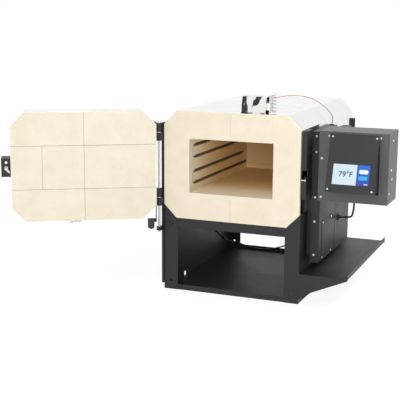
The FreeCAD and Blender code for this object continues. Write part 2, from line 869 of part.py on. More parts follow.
def make_shelf():
    """The folded side shelf: tray, outer lip, wall flange and a triangular gusset at each end."""
    body = new_body("side_shelf")
    t = d.stand_sheet
    wall = STAND_HALF
    outer = wall + d.shelf_width
    top = d.shelf_height
    low = top - t
    pad(body, "XZ_Plane", STAND_FRONT, d.shelf_depth, [[
        (wall, top - d.shelf_flange), (wall + t, top - d.shelf_flange), (wall + t, low), (outer, low),
        (outer, top + d.shelf_lip), (outer - t, top + d.shelf_lip), (outer - t, top), (wall, top)]])
    gusset = [(wall, low), (wall, low - 66), (wall + 12, low - 63), (wall + 34, low - 44.6),
              (outer, low - 3), (outer, low)]
    for level in (STAND_FRONT, STAND_FRONT + d.shelf_depth - t):
        pad(body, "XZ_Plane", level, t, [gusset])
    pocket(body, "XY_Plane", low - 1, t + 2, [], [(outer - 13, STAND_FRONT + 229, 6)])
    return body


# Hinge

def make_hinge_post():
    """A flat bar up the left side, screwed to the jacket's wall and the stand."""
    body = new_body("hinge_post")
    right = -STAND_HALF - 0.2
    left = right - d.post_thickness
    pad(body, "XY_Plane", d.post_bottom, MUFFLE_BASE + d.post_top - d.post_bottom, [
        rectangle(left, FRONT, right, FRONT + d.post_depth)])
    return body


POST_LEFT = -STAND_HALF - 0.2 - d.post_thickness
ROD_BORE = d.rod_diameter + d.running_clearance * 2
BRACKET_PLATE = 3.0
FOOT_BRACKET_DROP = 36.0
FOOT_BRACKET_HEIGHT = 10.0
ROD_FOOT = MUFFLE_BASE - FOOT_BRACKET_DROP - 4


def bracket_outline():
    """Plan of a fixed bracket: a rounded nose round the rod and a plate back along the post."""
    radius = d.barrel_diameter / 2
    flat = radius * 0.42
    return [
        (HINGE_X - radius, HINGE_Y + flat), (HINGE_X - radius, HINGE_Y - flat),
        (HINGE_X - flat, HINGE_Y - radius), (HINGE_X + flat, HINGE_Y - radius),
        (HINGE_X + radius, HINGE_Y - flat), (HINGE_X + radius, FRONT), (POST_LEFT, FRONT),
        (POST_LEFT, FRONT + 20), (POST_LEFT - BRACKET_PLATE, FRONT + 20),
        (POST_LEFT - BRACKET_PLATE, HINGE_Y + radius)]


def make_hinge_brackets():
    """The brackets that hold the rod: one at each hinge and one at the rod's foot."""
    levels = [(MUFFLE_BASE + d.upper_hinge, d.bracket_height),
              (MUFFLE_BASE + d.lower_hinge, d.bracket_height),
              (MUFFLE_BASE - FOOT_BRACKET_DROP, FOOT_BRACKET_HEIGHT)]
    brackets = []
    for index, (level, height) in enumerate(levels):
        body = document.addObject("PartDesign::Body", f"bracket{index}")
        pad(body, "XY_Plane", level, height, [bracket_outline()], [(HINGE_X, HINGE_Y, ROD_BORE)])
        brackets.append(body)
    return group_of("hinge_brackets", brackets)


def make_hinge_rod():
    """The rod, from below its foot bracket to a pointed cap above the upper knuckle."""
    body = new_body("hinge_rod")
    foot = ROD_FOOT
    top = MUFFLE_BASE + d.upper_hinge + d.bracket_height + d.washer_thickness + d.knuckle_height + 0.2
    radius = d.rod_diameter / 2
    turn(body, [
        (0, 0), (radius, 0), (radius, top - foot), (radius + 3, top - foot), (radius + 3, top - foot + 2),
        (radius, top - foot + 4), (0.4, top - foot + 9), (0, top - foot + 9)])
    place(body, HINGE_X, HINGE_Y, foot)
    return body


def make_hinge_washers():
    """The washers that each door knuckle turns on."""
    solids = []
    for level in (d.upper_hinge, d.lower_hinge):
        base = number(MUFFLE_BASE + level + d.bracket_height)
        ring = cylinder(d.barrel_diameter - 1, (HINGE_X.value, HINGE_Y.value, base), (0, 0, 1),
                        d.washer_thickness)
        bore = cylinder(ROD_BORE, (HINGE_X.value, HINGE_Y.value, base - 1), (0, 0, 1), 10)
        solids.append(ring.cut(bore))
    return shape_part("hinge_washers", Part.makeCompound(solids))


# Door

def door_y(depth):
    """Y of a plane of the shut door, this far out from its inner brick face."""
    return FRONT - d.door_gap - depth


def make_door_bricks():
    solids = split_slab(door_y(d.door_brick), d.door_brick, extra_joint=110.0)
    item = shape_part("door_bricks", Part.makeCompound(solids))
    swing_open(item)
    return item


def make_door_band():
    """The polished band wrapped round the edge of the door's bricks."""
    body = new_body("door_band")
    depth = d.door_brick - d.band_setback
    pad(body, "XZ_Plane", door_y(d.door_brick), depth, [octagon(d.band_sheet), octagon()])
    swing_open(body)
    return body


def make_door_back():
    """The outer sheet of the door, folded to the same eight sides as the band."""
    body = new_body("door_back")
    pad(body, "XZ_Plane", door_y(d.door_brick) - d.band_sheet, d.band_sheet, [octagon(d.band_sheet)])
    swing_open(body)
    return body


LEAF = 2.0
LEAF_START = 8.0
LEAF_END = 56.0
PLUNGER_FREE = d.plunger_travel + 2.4
BUMPER_IN = PLUNGER_FREE - (d.brick_proud + d.door_gap) + 0.5
BUMPER_OUT = BUMPER_IN + 14
BUMPER_HALF = 8.5
ARM_OUT = BUMPER_OUT + 12
STRIP_IN = BUMPER_OUT + 2.5
ARM_DROP = 14.0
ARM_HEIGHT = 10.0


def make_door_leaves():
    """Each hinge leaf lies on the door's band and ends in a knuckle round the rod."""
    band = -(HALF_WIDTH + d.band_sheet)
    radius = d.barrel_diameter / 2
    clear = d.washer_thickness + 0.2
    levels = [MUFFLE_BASE + d.upper_hinge + d.bracket_height + clear,
              MUFFLE_BASE + d.lower_hinge + d.bracket_height + clear]
    leaves = []
    for index, level in enumerate(levels):
        barrel = cylinder(d.barrel_diameter, (HINGE_X.value, HINGE_Y.value, level.value), (0, 0, 1),
                          d.knuckle_height)
        leaf = box(band - LEAF, band, door_y(LEAF_END), door_y(LEAF_START), level, level + d.knuckle_height)
        web = box(HINGE_X, band, HINGE_Y - radius, HINGE_Y - radius + 4, level, level + d.knuckle_height)
        shape = barrel.fuse(web).fuse(leaf)
        if index == 1:
            foot = MUFFLE_BASE - ARM_DROP
            strip = box(band - LEAF, band, door_y(ARM_OUT), door_y(STRIP_IN), foot, level + 1)
            arm = box(band - LEAF, SWITCH_X + BUMPER_HALF, door_y(BUMPER_OUT + 4), door_y(BUMPER_OUT), foot,
                      foot + ARM_HEIGHT)
            shape = shape.fuse(strip).fuse(arm)
        bore = cylinder(ROD_BORE, (HINGE_X.value, HINGE_Y.value, 0), (0, 0, 1), 1000)
        leaves.append(shape.cut(bore).removeSplitter())
    item = shape_part("door_hinge_leaves", Part.makeCompound(leaves))
    swing_open(item)
    return item


def make_bumper():
    """The moulded block on the arm that meets the door switch when the door shuts."""
    body = new_body("door_bumper")
    middle = d.switch_level
    x = SWITCH_X
    low = middle - 12
    pad(body, "XZ_Plane", door_y(BUMPER_OUT), BUMPER_OUT - BUMPER_IN, [[
        (x - BUMPER_HALF, low + 5), (x - 1, low), (x + BUMPER_HALF, low + 4), (x + BUMPER_HALF, middle + 14),
        (x - BUMPER_HALF, middle + 14)]])
    swing_open(body)
    return body


CLAMP_IN = 10.0
CLAMP_OUT = 26.0


def make_band_clamp():
    """The clamp that draws the band tight under the door: two ears and a bolt."""
    low = number(MUFFLE_BASE - d.band_sheet)
    middle = 25.0
    y0, y1 = number(door_y(CLAMP_OUT)), number(door_y(CLAMP_IN))
    ears = [box(middle + side * 8 - 1.2, middle + side * 8 + 1.2, y0, y1, low - 9, low) for side in (-1, 1)]
    feet = [box(middle + side * 12 - 5, middle + side * 12 + 5, y0, y1, low - 1.5, low) for side in (-1, 1)]
    bolt = cylinder(4, (middle - 15, (y0 + y1) / 2, low - 5), (1, 0, 0), 30)
    head = cylinder(8, (middle + 13, (y0 + y1) / 2, low - 5), (1, 0, 0), 4)
    shape = ears[0].multiFuse([ears[1], feet[0], feet[1], bolt, head]).removeSplitter()
    item = shape_part("door_band_clamp", shape)
    swing_open(item)
    return item


# Latch

LATCH_X = HALF_WIDTH + d.latch_side
LATCH_Z = MUFFLE_BASE + d.latch_level
LATCH_HALF = 12.0
HANDLE_IN = 54.0
HANDLE_OUT = 76.0
HUB = 18.0
GRIP_LENGTH = 62.0
GRIP_THICKNESS = 10.0
RIVET_LEVEL = MUFFLE_BASE + 159
LATCH_SILL = 8.0
LATCH_THROAT = 6.5


def make_latch_bracket():
    """A folded bracket on the free edge of the door: a face towards the oven and two flanges."""
    body = new_body("latch_bracket")
    t = d.stand_sheet
    band = HALF_WIDTH + d.band_sheet
    right = LATCH_X + LATCH_HALF + 1
    low = LATCH_Z - 24
    high = LATCH_Z + 25
    pad(body, "XZ_Plane", door_y(7), t, [rectangle(band, low, right, high)],
        [(LATCH_X, LATCH_Z, d.latch_shaft + d.running_clearance * 2)])
    pad(body, "XZ_Plane", door_y(7) + t, 1.2, [], [(LATCH_X, RIVET_LEVEL, 7)])
    for level in (low, high - t):
        pad(body, "XY_Plane", level, t, [rectangle(band, door_y(52), right, door_y(7))])
    pad(body, "YZ_Plane", band, t, [rectangle(door_y(52), low, door_y(7), high)])
    pad(body, "XZ_Plane", door_y(52), t, [rectangle(band, low, right, high)],
        [(LATCH_X, LATCH_Z, d.latch_shaft + d.running_clearance * 2)])
    swing_open(body)
    return body


FINGER_THICKNESS = 3.0
FINGER_WIDTH = 5.0
FINGER_FRONT = STAND_FRONT + d.cover_sheet + 1


def make_latch_finger():
    """The latch shaft with the finger that turns behind the latch post's front wall."""
    x, z = LATCH_X.value, LATCH_Z.value
    front = FINGER_FRONT.value
    outer = door_y(HANDLE_OUT).value
    shaft = cylinder(d.latch_shaft, (x, outer, z), (0, 1, 0), front + FINGER_THICKNESS - outer)
    hub = cylinder(d.latch_shaft + 2, (x, front, z), (0, 1, 0), FINGER_THICKNESS)
    reach = d.finger_length.value
    blade = Part.makeBox(reach, FINGER_THICKNESS, FINGER_WIDTH, Vector(0, 0, -FINGER_WIDTH / 2))
    tip = cylinder(FINGER_WIDTH, (reach, 0, 0), (0, 1, 0), FINGER_THICKNESS)
    finger = blade.fuse(tip)
    finger.rotate(Vector(0, 0, 0), Vector(0, 1, 0), d.finger_angle.value)
    finger.translate(Vector(x, front, z))
    collar = cylinder(d.latch_shaft + 3, (x, door_y(4.7).value, z), (0, 1, 0), 1.5)
    item = shape_part("latch_finger", shaft.multiFuse([hub, finger, collar]).removeSplitter())
    swing_open(item)
    return item


def make_latch_handle():
    """The handle on the outer end of the latch shaft: a hub and a tapered grip over the door."""
    body = new_body("latch_handle")
    pad(body, "XZ_Plane", door_y(HANDLE_OUT), HANDLE_OUT - HANDLE_IN, [], [(LATCH_X, LATCH_Z, HUB)])
    pad(body, "XZ_Plane", door_y(HANDLE_OUT), GRIP_THICKNESS, [[
        (LATCH_X, LATCH_Z - 6), (LATCH_X, LATCH_Z + 6), (LATCH_X - GRIP_LENGTH, LATCH_Z + 4.5),
        (LATCH_X - GRIP_LENGTH, LATCH_Z - 4.5)]])
    round_edges(body, 3, lambda edge: runs_along(edge, Vector(0, 0, 1), 8))
    pocket(body, "XZ_Plane", door_y(HANDLE_OUT + 1), HANDLE_OUT, [],
           [(LATCH_X, LATCH_Z, d.latch_shaft + d.running_clearance * 2)])
    swing_open(body)
    return body


def make_latch_post():
    """The channel on the right of the mouth; the finger enters the notch in its front wall."""
    body = new_body("latch_post")
    t = d.cover_sheet
    left = STAND_HALF
    right = left + d.latch_post_width
    front = STAND_FRONT
    back = front + d.latch_post_depth
    low = MUFFLE_BASE + 77
    high = MUFFLE_BASE + 254
    pad(body, "XY_Plane", low, high - low, [[
        (left, front), (right, front), (right, back - 0.3), (right - t, back - 0.3), (right - t, front + t),
        (left + t, front + t), (left + t, back - 0.3), (left, back - 0.3)]])
    pad(body, "XY_Plane", high - t, t, [rectangle(left, front, right, back - 0.3)])
    sill = LATCH_Z - LATCH_SILL
    throat = sill - LATCH_THROAT
    pocket(body, "XY_Plane", sill, d.latch_notch, [rectangle(left + t, front - 1, right + 1, front + t + 1)])
    pocket(body, "XY_Plane", throat, LATCH_THROAT + 1, [
        rectangle(left + t, front - 1, LATCH_X - FINGER_WIDTH / 2 + 0.2, front + t + 1)])
    sweep = d.finger_length + FINGER_WIDTH / 2 + 1
    pocket(body, "XY_Plane", LATCH_Z - sweep, sweep * 2, [
        rectangle(right - t - 0.2, front + t, right + 1, front + 12)])
    return body


def make_strike_pin():
    """The bright pin across the foot of the latch post's notch."""
    z = (LATCH_Z - LATCH_SILL - LATCH_THROAT - 2.5).value
    left = STAND_HALF.value
    y = STAND_FRONT.value - 1.8
    pin = cylinder(3.5, (left, y, z), (1, 0, 0), d.latch_post_width)
    head = cylinder(6, (left + d.latch_post_width.value - 3, y - 1.2, z), (1, 0, 0), 3)
    return shape_part("strike_pin", pin.fuse(head).removeSplitter())


# Side enclosure

def make_enclosure(label, front, length, low, high, holes):
    """A folded sheet box that stands off the oven's side on two channels."""
    body = new_body(label)
    t = d.cover_sheet
    left = ENCLOSURE_LEFT
    right = ENCLOSURE_RIGHT
    pad(body, "XY_Plane", low, high - low, [
        rectangle(left, front, right, front + length),
        rectangle(left + t, front + t, right - t, front + length - t)])
    for level in (low, high - t):
        pad(body, "XY_Plane", level, t, [rectangle(left, front, right, front + length)])
    for plane, level, outlines, circles in holes:
        pocket(body, plane, level, t * 3, outlines, circles)
    round_edges(body, 2.5, lambda edge: runs_along(edge, Vector(0, 0, 1), 300)
                and edge.CenterOfMass.x > right.value - 0.1)
    return body


VENT_FRONT = ENCLOSURE_FRONT + 27
VENT_LENGTH = 96.0
VENT_BOTTOM = as_size(106.0)
VENT_TOP = as_size(211.0)


def vent_holes():
    """Rows of small round holes along the top and bottom of the vented plate."""
    holes = []
    for row in (VENT_BOTTOM + 7, VENT_TOP - 7):
        for k in range(8):
            holes.append((VENT_FRONT + 13 + k * 10, row, 4))
    return holes


def make_vent_plate():
    """The screwed plate over the lower part of the side enclosure."""
    body = new_body("enclosure_vent_plate")
    pad(body, "YZ_Plane", ENCLOSURE_RIGHT, 1.2,
        [rectangle(VENT_FRONT, VENT_BOTTOM, VENT_FRONT + VENT_LENGTH, VENT_TOP)], vent_holes())
    return body


def make_side_enclosure():
    """The front side box, open behind its vented plate and where the thermocouple's wire goes in."""
    t = d.cover_sheet
    top = MUFFLE_BASE + d.enclosure_top
    inside = [
        ("YZ_Plane", ENCLOSURE_RIGHT - t * 2, [rectangle(
            VENT_FRONT + 8, VENT_BOTTOM + 14, VENT_FRONT + VENT_LENGTH - 8, VENT_TOP - 14)], []),
        ("XY_Plane", top - t * 2, [], [(SEAL_X, SEAL_Y, SEAL_HOLE)])]
    return make_enclosure("side_enclosure", ENCLOSURE_FRONT, d.enclosure_length, d.enclosure_bottom,
                          top, inside)


def make_relay_box():
    """The rear side box; the supply cable comes out of its wall."""
    relief = [("YZ_Plane", ENCLOSURE_RIGHT - d.cover_sheet * 2, [], [(RELIEF_Y, RELIEF_Z, RELIEF_HOLE)])]
    return make_enclosure("relay_box", RELAY_FRONT, d.relay_box_length, d.enclosure_bottom,
                          d.relay_box_top, relief)


RELAY_LENGTH = 45.0
RELAY_HEIGHT = 58.0
RELAY_DEPTH = 14.0
RELAY_STEP = 5.0


def make_relay():
    """The solid-state relay that switches the elements, on the back of its box."""
    body = new_body("power_relay")
    base = ENCLOSURE_LEFT + d.cover_sheet
    y = RELAY_FRONT + 60
    z = d.enclosure_bottom + 120
    pad(body, "YZ_Plane", base, RELAY_DEPTH, [rectangle(y, z, y + RELAY_LENGTH, z + RELAY_HEIGHT)])
    corners = []
    for y0 in (y - 1, y + RELAY_LENGTH - 14):
        for z0 in (z - 1, z + RELAY_HEIGHT - 12):
            corners.append(rectangle(y0, z0, y0 + 15, z0 + 13))
    pocket(body, "YZ_Plane", base + RELAY_DEPTH - RELAY_STEP, RELAY_STEP + 1, corners)
    return body


STANDOFF_WIDTH = 20.0
STANDOFF_MARGIN = 12.0


def make_standoffs():
    """Two upright channels that hold the side boxes clear of the hot jacket."""
    channels = []
    fronts = (ENCLOSURE_FRONT + 17, RELAY_FRONT + d.relay_box_length - STANDOFF_WIDTH - STANDOFF_MARGIN)
    for index, front in enumerate(fronts):
        body = document.addObject("PartDesign::Body", f"channel{index}")
        t = d.cover_sheet
        low = d.enclosure_bottom + STANDOFF_MARGIN
        high = d.relay_box_top - STANDOFF_MARGIN
        left, right = STAND_HALF, ENCLOSURE_LEFT
        pad(body, "XY_Plane", low, high - low, [[
            (left, front), (right, front), (right, front + STANDOFF_WIDTH),
            (left, front + STANDOFF_WIDTH), (left, front + STANDOFF_WIDTH - t),
            (right - t, front + STANDOFF_WIDTH - t), (right - t, front + t), (left, front + t)]])
        channels.append(body)
    return group_of("enclosure_standoffs", channels)


# Control box and panel

SEAM_OVERLAP = 8.0
PANEL_LEFT = CONTROL_LEFT + d.panel_side_margin
PANEL_RIGHT = PANEL_LEFT + d.panel_width
PANEL_HIGH = d.control_bottom + d.control_height - d.panel_top_margin
PANEL_LOW = PANEL_HIGH - d.panel_height


def make_control_rear():
    """The rear shell of the control box, bolted to the side enclosure."""
    body = new_body("control_box_rear")
    t = d.cover_sheet
    x0 = CONTROL_LEFT
    x1 = x0 + d.control_width
    z0 = d.control_bottom
    z1 = z0 + d.control_height
    seam = CONTROL_FRONT + d.control_lip
    y1 = CONTROL_FRONT + d.control_depth
    pad(body, "XZ_Plane", seam + 0.5, y1 - seam - 0.5, [rectangle(x0, z0, x1, z1)])
    pocket(body, "XZ_Plane", seam - 1, y1 - seam + 1 - t, [rectangle(x0 + t, z0 + t, x1 - t, z1 - t)])
    pad(body, "XZ_Plane", seam - SEAM_OVERLAP, SEAM_OVERLAP * 2, [
        rectangle(x0 + t, z0 + t, x1 - t, z1 - t), rectangle(x0 + t * 2, z0 + t * 2, x1 - t * 2, z1 - t * 2)])
    pocket(body, "XY_Plane", z0 - 1, t + 2, [], [(GLAND_X, GLAND_Y, GLAND_THREAD)])
    return body


def make_control_front():
    """The front shell: it laps over the rear one, and is cut out for the tilting panel."""
    body = new_body("control_box_front")
    t = d.cover_sheet
    x0 = CONTROL_LEFT
    x1 = x0 + d.control_width
    z0 = d.control_bottom
    z1 = z0 + d.control_height
    y0 = CONTROL_FRONT
    pad(body, "XZ_Plane", y0, d.control_lip, [rectangle(x0, z0, x1, z1)])
    pocket(body, "XZ_Plane", y0 + t, d.control_lip, [rectangle(x0 + t, z0 + t, x1 - t, z1 - t)])
    opening = rectangle(PANEL_LEFT - 1, PANEL_LOW - 1, PANEL_RIGHT + 1, PANEL_HIGH + 1)
    pocket(body, "XZ_Plane", y0 - 1, t + 2, [opening])
    return body


OVERLAY = 1.6
FACE_FRONT = CONTROL_FRONT - d.panel_proud
FRAME_FRONT = FACE_FRONT + OVERLAY
PIVOT_Y = CONTROL_FRONT - 2
PIVOT_Z = PANEL_HIGH - 5
PIVOT_BORE = d.pivot_diameter + d.running_clearance * 2
EAR = 2.0
EAR_GAP = 0.6
SCREEN_LEFT = PANEL_LEFT + (d.panel_width - d.screen_width) / 2
SCREEN_LOW = PANEL_HIGH - d.screen_drop - d.screen_height
SCREEN = rectangle(SCREEN_LEFT, SCREEN_LOW, SCREEN_LEFT + d.screen_width, SCREEN_LOW + d.screen_height)


def make_panel_frame():
    """The tilting frame: a flat front with a wedge-shaped cheek folded back at each side."""
    body = new_body("panel_frame")
    t = d.cover_sheet
    y0 = FRAME_FRONT
    pad(body, "XZ_Plane", y0, t, [rectangle(PANEL_LEFT, PANEL_LOW, PANEL_RIGHT, PANEL_HIGH), SCREEN])
    cheek = [
        (y0, PANEL_LOW), (y0 + d.panel_wedge, PANEL_LOW + 12), (PIVOT_Y + 4, PANEL_HIGH - 14),
        (PIVOT_Y + 4, PANEL_HIGH - 1), (y0, PANEL_HIGH - 1)]
    for level in (PANEL_LEFT, PANEL_RIGHT - t):
        pad(body, "YZ_Plane", level, t, [cheek])
        pocket(body, "YZ_Plane", level - 0.5, t + 1, [], [(PIVOT_Y, PIVOT_Z, PIVOT_BORE)])
    tilt_out(body)
    return body


def make_panel_face():
    """The black face plate of the panel, open over the screen."""
    body = new_body("panel_face")
    pad(body, "XZ_Plane", FACE_FRONT, OVERLAY, [
        rectangle(PANEL_LEFT, PANEL_LOW, PANEL_RIGHT, PANEL_HIGH), SCREEN])
    tilt_out(body)
    return body


def make_screen():
    """The touch screen's glass, set in the face plate."""
    body = new_body("display_screen")
    pad(body, "XZ_Plane", FACE_FRONT + 0.3, OVERLAY + d.cover_sheet - 0.3, [SCREEN])
    tilt_out(body)
    return body


def make_board():
    """The controller's circuit board, behind the screen."""
    body = new_body("control_board")
    pad(body, "XZ_Plane", FRAME_FRONT + d.cover_sheet, 1.6, [
        rectangle(SCREEN_LEFT - 3, SCREEN_LOW - 8, SCREEN_LEFT + d.screen_width + 3,
                  SCREEN_LOW + d.screen_height + 20)])
    tilt_out(body)
    return body


def make_ears():
    """The triangular ears on the control box that the panel's pivots turn in."""
    ears = []
    for index, x0 in enumerate((PANEL_LEFT - EAR_GAP - EAR, PANEL_RIGHT + EAR_GAP)):
        body = document.addObject("PartDesign::Body", f"ear{index}")
        pad(body, "YZ_Plane", x0, EAR, [[
            (CONTROL_FRONT, PIVOT_Z + 6), (CONTROL_FRONT - 9, PIVOT_Z + 6), (CONTROL_FRONT - 9, PIVOT_Z - 4),
            (CONTROL_FRONT, PIVOT_Z - 50)]], [(PIVOT_Y, PIVOT_Z, PIVOT_BORE)])
        ears.append(body)
    return group_of("panel_ears", ears)


def make_pivots():
    """The two pivot screws, through the ears into the frame's cheeks."""
    solids = []
    outside = EAR_GAP + EAR
    for x0, way in ((PANEL_LEFT - outside, -1), (PANEL_RIGHT + outside, 1)):
        head = cylinder(7, (x0.value, PIVOT_Y.value - 1.5, PIVOT_Z.value), (way, 0, 0), 3)
        shank = cylinder(d.pivot_diameter, (x0.value, PIVOT_Y.value, PIVOT_Z.value), (-way, 0, 0),
                         outside + d.cover_sheet.value)
        solids.append(head.fuse(shank).removeSplitter())
    return shape_part("panel_pivots", Part.makeCompound(solids))


# Door switch

SWITCH_BACK = 26.0


def make_switch_body():
    """The door switch: a barrel through the left leg's flange, with a round bezel in front."""
    body = new_body("door_switch")
    place_x, place_z = SWITCH_X, d.switch_level
    bore = (place_x, place_z, d.plunger_diameter + d.running_clearance * 4)
    flange_back = STAND_FRONT + d.stand_sheet
    pad(body, "XZ_Plane", STAND_FRONT - 2, 2, [], [(place_x, place_z, d.switch_bezel), bore])
    pad(body, "XZ_Plane", STAND_FRONT, d.stand_sheet, [], [(place_x, place_z, SWITCH_BARREL), bore])
    pad(body, "XZ_Plane", flange_back, 5, [], [(place_x, place_z, d.switch_bezel), bore])
    pad(body, "XZ_Plane", flange_back + 5, SWITCH_BACK - 5, [
        rectangle(place_x - 6, place_z - 7, place_x + 6, place_z + 7)])
    return body


def make_plunger():
    """The plunger that the door's bumper pushes in."""
    body = new_body("switch_plunger")
    length = PLUNGER_FREE + d.stand_sheet + 0.6
    turn(body, [
        (0, 0), (d.plunger_diameter / 2 - 1, 0), (d.plunger_diameter / 2, 1),
        (d.plunger_diameter / 2, length), (0, length)])
    place(body, SWITCH_X, STAND_FRONT - PLUNGER_FREE, d.switch_level, Vector(1, 0, 0), -90)
    return body


# Cords and their fittings

THERMOCOUPLE_ROUTE = [
    (107.0, -211.0, 535.0), (123.0, -202.0, 538.5), (141.0, -188.5, 540.5), (158.0, -172.0, 539.5),
    (174.0, -156.0, 535.5), (188.0, -139.0, 528.0), (201.0, -122.5, 517.5), (212.5, -105.0, 504.0),
    (220.5, -88.0, 489.5), (223.5, -72.0, 477.0), (220.5, -58.0, 467.5), (216.0, -48.5, 461.5),
    (215.0, -46.0, 453.5)]
SUPPLY_ROUTE = [
    (239.0, -6.0, 190.0), (248.1, -6.0, 190.0), (258.4, -9.2, 191.5), (267.0, -15.2, 194.2),
    (273.1, -23.5, 198.0), (278.1, -40.4, 204.1), (286.1, -67.7, 214.9), (293.7, -93.8, 228.6),
    (298.3, -109.5, 237.7), (300.4, -116.6, 243.9), (301.8, -121.6, 251.9), (302.6, -124.2, 261.1),
    (302.6, -124.2, 269.5)]
SWITCH_ROUTE = [
    (-177.5, -221.0, 184.0), (-177.5, -207.0, 184.0), (-180.0, -191.0, 181.5), (-185.0, -163.0, 175.0),
    (-187.6, -115.0, 165.0), (-187.4, -60.0, 152.0), (-187.6, -5.0, 138.0), (-187.4, 48.0, 121.0),
    (-187.6, 92.0, 101.0), (-187.4, 133.0, 79.0), (-187.6, 172.0, 58.0), (-187.4, 202.0, 41.0),
    (-181.5, 218.0, 32.0), (-169.0, 225.5, 27.5), (-150.0, 226.0, 25.0), (-130.0, 221.0, 21.0),
    (-100.0, 216.0, 16.0), (-68.0, 214.0, 14.0), (-36.0, 215.0, 18.0), (-6.0, 217.0, 27.0),
    (26.0, 219.0, 40.0), (58.0, 220.5, 55.0), (92.0, 221.5, 71.0), (126.0, 221.0, 86.5),
    (158.0, 221.5, 98.0), (176.0, 221.0, 101.0), (188.0, 221.0, 101.0)]


def make_cords():
    for label, route, diameter in (
            ("thermocouple_wire", THERMOCOUPLE_ROUTE, d.thermocouple_wire),
            ("supply_cable", SUPPLY_ROUTE, d.supply_cable),
            ("switch_cable", SWITCH_ROUTE, d.switch_cable)):
        shape_part(label, tube_along(route, diameter.value / 2, label))


def ring(outer, inner, start, direction, length):
    tube = cylinder(outer, start, direction, length)
    return tube.cut(cylinder(inner, start, direction, length))


SWITCH_CABLE_WALL = -190.0
CLIP_WIDTH = 4.0
CLIP_FOOT = 9.0


def cable_clip(run, cable, wall_x):
    """A clip round the middle of one run of the switch cable, with its foot on the left plate."""
    start, end = (Vector(*SWITCH_ROUTE[k]) for k in (run, run + 1))
    along = (end - start).normalize()
    middle = (start + end) * 0.5 - along * (CLIP_WIDTH / 2)
    middle.x += wall_x - SWITCH_CABLE_WALL
    bore = cable + HOLE_CLEARANCE
    loop = ring(cable + 4, bore, tuple(middle), tuple(along), CLIP_WIDTH)
    pad_z = middle.z + cable / 2
    tab = box(wall_x, wall_x + 1.5, middle.y - 3, middle.y + 3, pad_z, pad_z + CLIP_FOOT)
    outside = box(wall_x - 20, wall_x, middle.y - 20, middle.y + 20, middle.z - 20, middle.z + 20)
    return loop.fuse(tab).cut(outside).cut(cylinder(bore, tuple(middle - along * 5), tuple(along), 14))


def make_cable_fittings():
    """Gland, strain relief, grommets and clips: what the cords come out of and are held by."""
    t = d.cover_sheet.value
    x, y, under = GLAND_X.value, GLAND_Y.value, d.control_bottom.value
    gland = cylinder(12, (x, y, under - GLAND_LENGTH), (0, 0, 1), GLAND_LENGTH)
    gland = gland.fuse(cylinder(GLAND_THREAD, (x, y, under), (0, 0, 1), 8))
    wall, y, z = ENCLOSURE_RIGHT.value, RELIEF_Y.value, RELIEF_Z.value
    relief = box(wall, wall + 4, y - 6, y + 6, z - 9, z + 8)
    relief = relief.fuse(cylinder(10, (wall, y, z), (1, 0, 0), RELIEF_LENGTH))
    relief = relief.fuse(cylinder(8, (wall - t - 5, y, z), (1, 0, 0), t + 5))
    x, y, lid = SEAL_X.value, SEAL_Y.value, (MUFFLE_BASE + d.enclosure_top).value
    seal = cylinder(13, (x, y, lid), (0, 0, 1), SEAL_HEIGHT)
    seal = seal.fuse(cylinder(SEAL_HOLE, (x, y, lid - t), (0, 0, 1), t))
    inside = (STAND_HALF - d.stand_sheet).value
    exit_point = (inside - GROMMET_LENGTH, GROMMET_Y.value, GROMMET_Z)
    grommet = cylinder(13, exit_point, (1, 0, 0), GROMMET_LENGTH)
    through = GROMMET_LENGTH + d.stand_sheet.value + 1
    grommet = grommet.fuse(cylinder(GROMMET_BARREL, exit_point, (1, 0, 0), through))
    clips = [cable_clip(run, d.switch_cable.value, -inside) for run in (4, 7, 10)]
    return shape_part("cable_fittings", Part.makeCompound([gland, relief, seal, grommet] + clips))


def screw_head(x, y, z, out, diameter=6.5, height=1.6):
    """A pan head standing on a face; out is the face's outward direction."""
    head = cylinder(diameter, (number(x), number(y), number(z)), out, height)
    rims = [edge for edge in head.Edges if edge.Curve.TypeId == "Part::GeomCircle"
            and (edge.Curve.Center - Vector(number(x), number(y), number(z))).Length > height / 2]
    return head.makeFillet(0.8, rims)


def make_case_screws():
    """The screws seen on the side enclosure, its vented plate and the control box."""
    heads = []
    t = ENCLOSURE_FRONT
    for level in (236, 195, 76, 11, -79):
        heads.append(screw_head(ENCLOSURE_LEFT + 10, t, MUFFLE_BASE + level, (0, -1, 0)))
    for y in (VENT_FRONT + 5, VENT_FRONT + VENT_LENGTH - 5):
        for z in (VENT_BOTTOM + 5, VENT_TOP - 5):
            heads.append(screw_head(ENCLOSURE_RIGHT + 1.2, y, z, (1, 0, 0)))
    for level in (183.6, 82.8):
        heads.append(screw_head(CONTROL_LEFT + 8, CONTROL_FRONT, MUFFLE_BASE + level, (0, -1, 0)))
    side = CONTROL_LEFT + d.control_width
    for back, level in ((77, 232), (66, 158), (76, 133), (49, 99.8)):
        heads.append(screw_head(side, FRONT + back, MUFFLE_BASE + level, (1, 0, 0)))
    return shape_part("case_screws", Part.makeCompound(heads))


def make_panel_screws():
    """The small screws at the corners of the panel's face plate."""
    heads = []
    for x in (PANEL_LEFT + 6, PANEL_RIGHT - 6):
        for z in (PANEL_LOW + 7, PANEL_HIGH - 7):
            heads.append(screw_head(x, FACE_FRONT, z, (0, -1, 0), 5.0, 1.3))
    item = shape_part("panel_screws", Part.makeCompound(heads))
    tilt_out(item)
    return item


